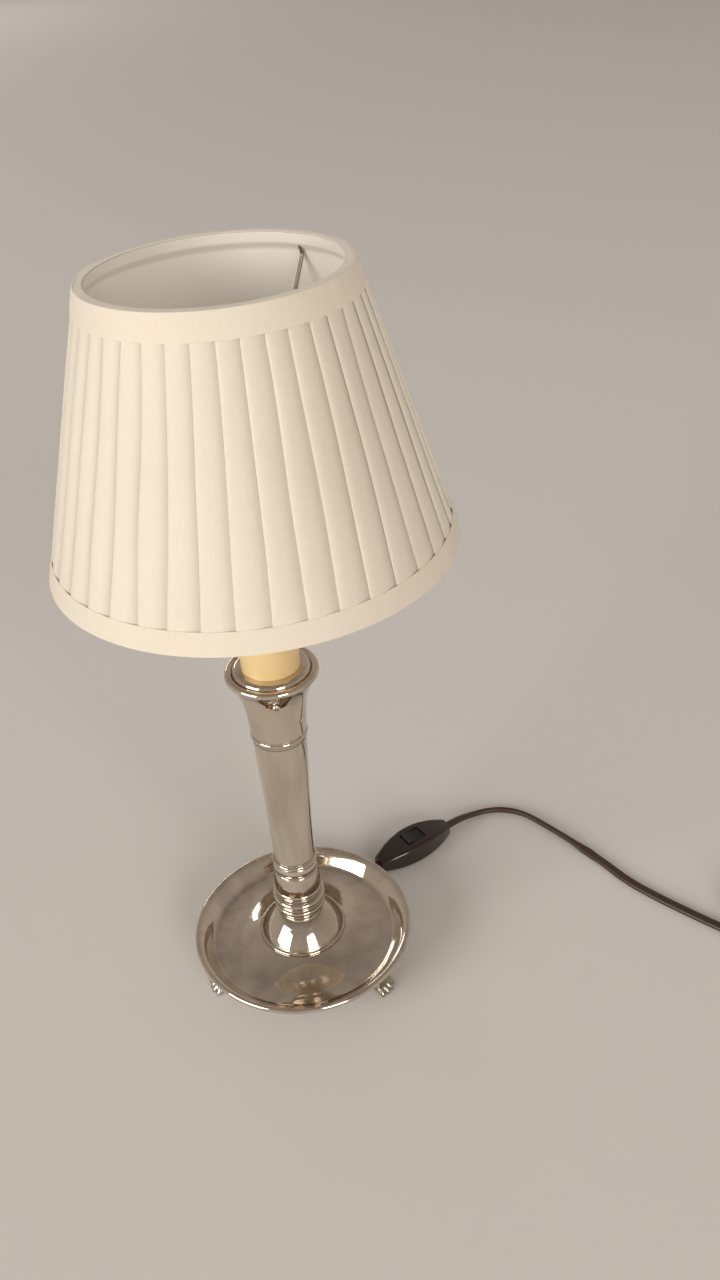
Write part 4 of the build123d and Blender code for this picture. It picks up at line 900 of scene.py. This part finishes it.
switchAt = np.array((85.3, 75.9, 0.0))
switchWay = heading(27.9)
switchHalf = 30.5
gripWay = heading(57.0)
gripExit = gripWay * 28.5 + (0, 0, 9.0)
switchLeft = switchAt - switchWay * switchHalf + (0, 0, 6.6)
switchRight = switchAt + switchWay * switchHalf + (0, 0, 6.6)
lampRoute = [gripExit, gripExit + gripWay * 11.0, (30.1, 42.0, 8.4), (39.0, 50.0, 7.4),
             switchLeft - switchWay * 11.0, switchLeft + switchWay * 1.0]
lampFlex, lampPath, lampLong = flatFlex("lampFlex", lampRoute, ["cord_lamp_side"])

coilShape = {"reach": 45.0, "pitch": 6.95, "halfIn": 6, "halves": 12, "low": 2.75, "high": 6.85,
             "perHalf": 7, "heading": -45.0, "swell": 1 / 0.985, "lead": 6.3}
coilWay = heading(coilShape["heading"])
coilAside = heading(coilShape["heading"] + 90)
tableEnd = np.array((283.8, -46.4, coilShape["low"]))
coilStart = tableEnd + coilWay * 16.0
coilMiddle = coilStart + coilWay * coilShape["lead"] + coilAside * coilShape["reach"]
coilMiddle[2] = 0


def coilPoints(spec):
    # half turns between stations on a line through the middle, spiralling in below and out on top
    def station(index):
        inward = index // 2 if index <= spec["halfIn"] else (2 * spec["halfIn"] - index + 1) // 2
        reach = spec["reach"] - spec["pitch"] * inward
        level = spec["low"] if index <= spec["halfIn"] else spec["high"]
        return coilMiddle + coilAside * (reach if index % 2 else -reach) + (0, 0, level)
    found = []
    for index in range(spec["halves"]):
        begin, end = station(index), station(index + 1)
        centre = (begin + end) / 2
        arm = begin - centre
        across = coilWay * np.linalg.norm(arm[:2]) * (-1 if index % 2 else 1)
        for part in range(spec["perHalf"]):
            angle = pi * (part + 0.5) / spec["perHalf"]
            point = centre + (arm * cos(angle) + across * sin(angle)) * spec["swell"]
            point[2] = begin[2] + (end[2] - begin[2]) * (part + 0.5) / spec["perHalf"]
            found.append(point)
    return found, station(spec["halves"])


wound, coilEnd = coilPoints(coilShape)
plugEntry = np.array((399.0, -60.0, 6.85))
plugWay = heading(84.0)
tableBend = [(147.0, 105.2), (161.4, 102.6), (173.8, 95.0), (184.5, 81.2), (199.4, 61.0), (213.6, 39.3),
             (226.0, 16.4), (243.5, -4.3), (264.2, -26.2)]
farRoute = [
    switchRight - switchWay * 1.0, switchRight + switchWay * 12.0, (133.2, 101.6, 3.2),
    *[(x, y, flexShape["onTable"]) for x, y in tableBend],
    tableEnd, coilStart, *wound, coilEnd + coilWay * coilShape["lead"], coilEnd + coilWay * 27.3,
    (341.6, -101.6, 4.6), (359.6, -109.4, 2.4), (379.4, -107.6, flexShape["onTable"]), (393.8, -93.8, 3.8),
    plugEntry - plugWay * 14.0, plugEntry,
]
farFlex, farPath, farLong = flatFlex("farFlex", farRoute, ["cord_table_side", "cord_coil", "cord_plug_side"],
                                     twists=[(50.0, 38.0, -50.0), (105.0, 30.0, -38.0), (124.0, 7.0, 42.0)])
print("flex lengths", round(lampLong, 1), round(farLong, 1))


strapShape = {"inner": 20.2, "outer": 49.0, "low": 0.1, "mid": 5.2, "high": 9.4, "thick": 0.6, "wide": 4.0}


def coilStrap(spec):
    # flat band: a rounded box section round the bundle of turns, given a width along the coil
    left, right, low, high = spec["inner"], spec["outer"], spec["low"], spec["high"]
    corners = [(left, low, 1.6), (right, low, 1.6), (right, high, 2.6), (left + 3.0, high, 2.6),
               (left, spec["mid"], 2.4)]
    outside = softOutline(corners, 1.0, 2.0, True)
    following = np.roll(outside, -1, axis=0) - np.roll(outside, 1, axis=0)
    inside = outside + unit(np.stack([-following[:, 1], following[:, 0]], axis=1)) * spec["thick"]
    rings = []
    for line, at in ((outside, -1), (outside, 1), (inside, 1), (inside, -1)):
        rings.append(coilMiddle - coilAside * line[:, :1] + coilWay * (at * spec["wide"] / 2)
                     + np.array((0, 0, 1.0)) * line[:, 1:])
    faces = gridFaces(4, len(outside), closeRows=True, closeCols=True)
    mesh = putMesh("coilStrap", np.concatenate(rings), [faces], crease=40)
    return showPiece("coilStrap", mesh, strapPlastic, "root", ["coil_tie"])


strap = coilStrap(strapShape)
print("flex laid")

# nodes whose CAD shape stays, with their finishes
finishes = [
    (plainBrass, "tie_tube lower_nut upper_nut screw_shell centre_leaf terminal_screws"),
    (plainBrass, "bulb_button switch_contacts"),
    (nickelPlate, "neck_screw plug_pins"), (zincPlate, "clamp_plate grip_screws rocker_pin"),
    (darkPhenolic, "cord_grip grip_bar holder_body contact_disc"), (rockerPlastic, "switch_rocker"),
    (springWire, "lower_ring upper_ring fitter_arms bulb_clip"), (podPlastic, "switch_base switch_cover"),
    (flexSheath, "inner_leads"), (plugPlastic, "plug_body plug_relief"),
]
for material, names in finishes:
    for name in names.split():
        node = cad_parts[name]
        if not node.material_slots:
            node.data.materials.append(material)
        for place in node.material_slots:
            place.material = material

studio = {"floorSize": 24.0, "floorColor": (0.80, 0.775, 0.745, 1), "strength": 1.15,
          "distance": 8.0, "lightColor": (1.0, 0.97, 0.93),
          "world": [(0.0, 0.40), (0.35, 0.36), (0.7, 0.29), (1.0, 0.22)]}


def layFloor(spec):
    half = spec["floorSize"] / 2
    mesh = bpy.data.meshes.new("floor")
    mesh.from_pydata([(-half, -half, 0), (half, -half, 0), (half, half, 0), (-half, half, 0)], [],
                     [(0, 1, 2, 3)])
    floor = bpy.data.objects.new("floor", mesh)
    scene.collection.objects.link(floor)
    material, tree, shader = newMaterial("paleFloor", {"Roughness": 0.75})
    place = objectPlace(tree)
    grain = noise(tree, place, 60.0, 6.0)
    r, g, b, a = spec["floorColor"]
    shown = blendColors(tree, grain, (r * 0.985, g * 0.985, b * 0.985, 1), (r, g, b, 1))
    feed(tree, shader, {"Base Color": shown})
    mesh.materials.append(material)


def softBox(name, azimuth, elevation, size, power):
    # a lit rectangle that faces the object from a direction in degrees
    data = bpy.data.lights.new(name, "AREA")
    data.shape = "RECTANGLE"
    data.size, data.size_y = size
    data.energy = power
    data.color = studio["lightColor"]
    lamp = bpy.data.objects.new(name, data)
    way = Vector((*heading(azimuth)[:2] * cos(radians(elevation)), sin(radians(elevation))))
    lamp.location = way * studio["distance"] + Vector((0, 0, 0.04))
    lamp.rotation_euler = way.to_track_quat("Z", "Y").to_euler()
    scene.collection.objects.link(lamp)


def paintWorld(spec):
    # palest a little above the horizon and darker overhead, as in a room
    world = bpy.data.worlds.new("studio")
    world.use_nodes = True
    tree = world.node_tree
    place = addNode(tree, "ShaderNodeTexCoord").outputs["Generated"]
    height = addNode(tree, "ShaderNodeSeparateXYZ", {0: place}).outputs[2]
    ramp = addNode(tree, "ShaderNodeValToRGB", {0: height})
    steps = ramp.color_ramp.elements
    while len(steps) < len(spec["world"]):
        steps.new(0.5)
    for step, (at, level) in zip(steps, spec["world"]):
        step.position = at
        step.color = (level, level * 0.89, level * 0.79, 1)
    feed(tree, tree.nodes["Background"], {"Color": ramp.outputs[0], "Strength": spec["strength"]})
    scene.world = world


layFloor(studio)
softBox("rightWindow", -71, 20, (2.9, 3.1), 230.0)
softBox("leftWindow", -150, 20, (4.9, 3.1), 380.0)
softBox("lowPanel", 109, 13, (2.8, 0.7), 32.0)
paintWorld(studio)
scene.view_settings.view_transform = "Standard"
print("studio lit")
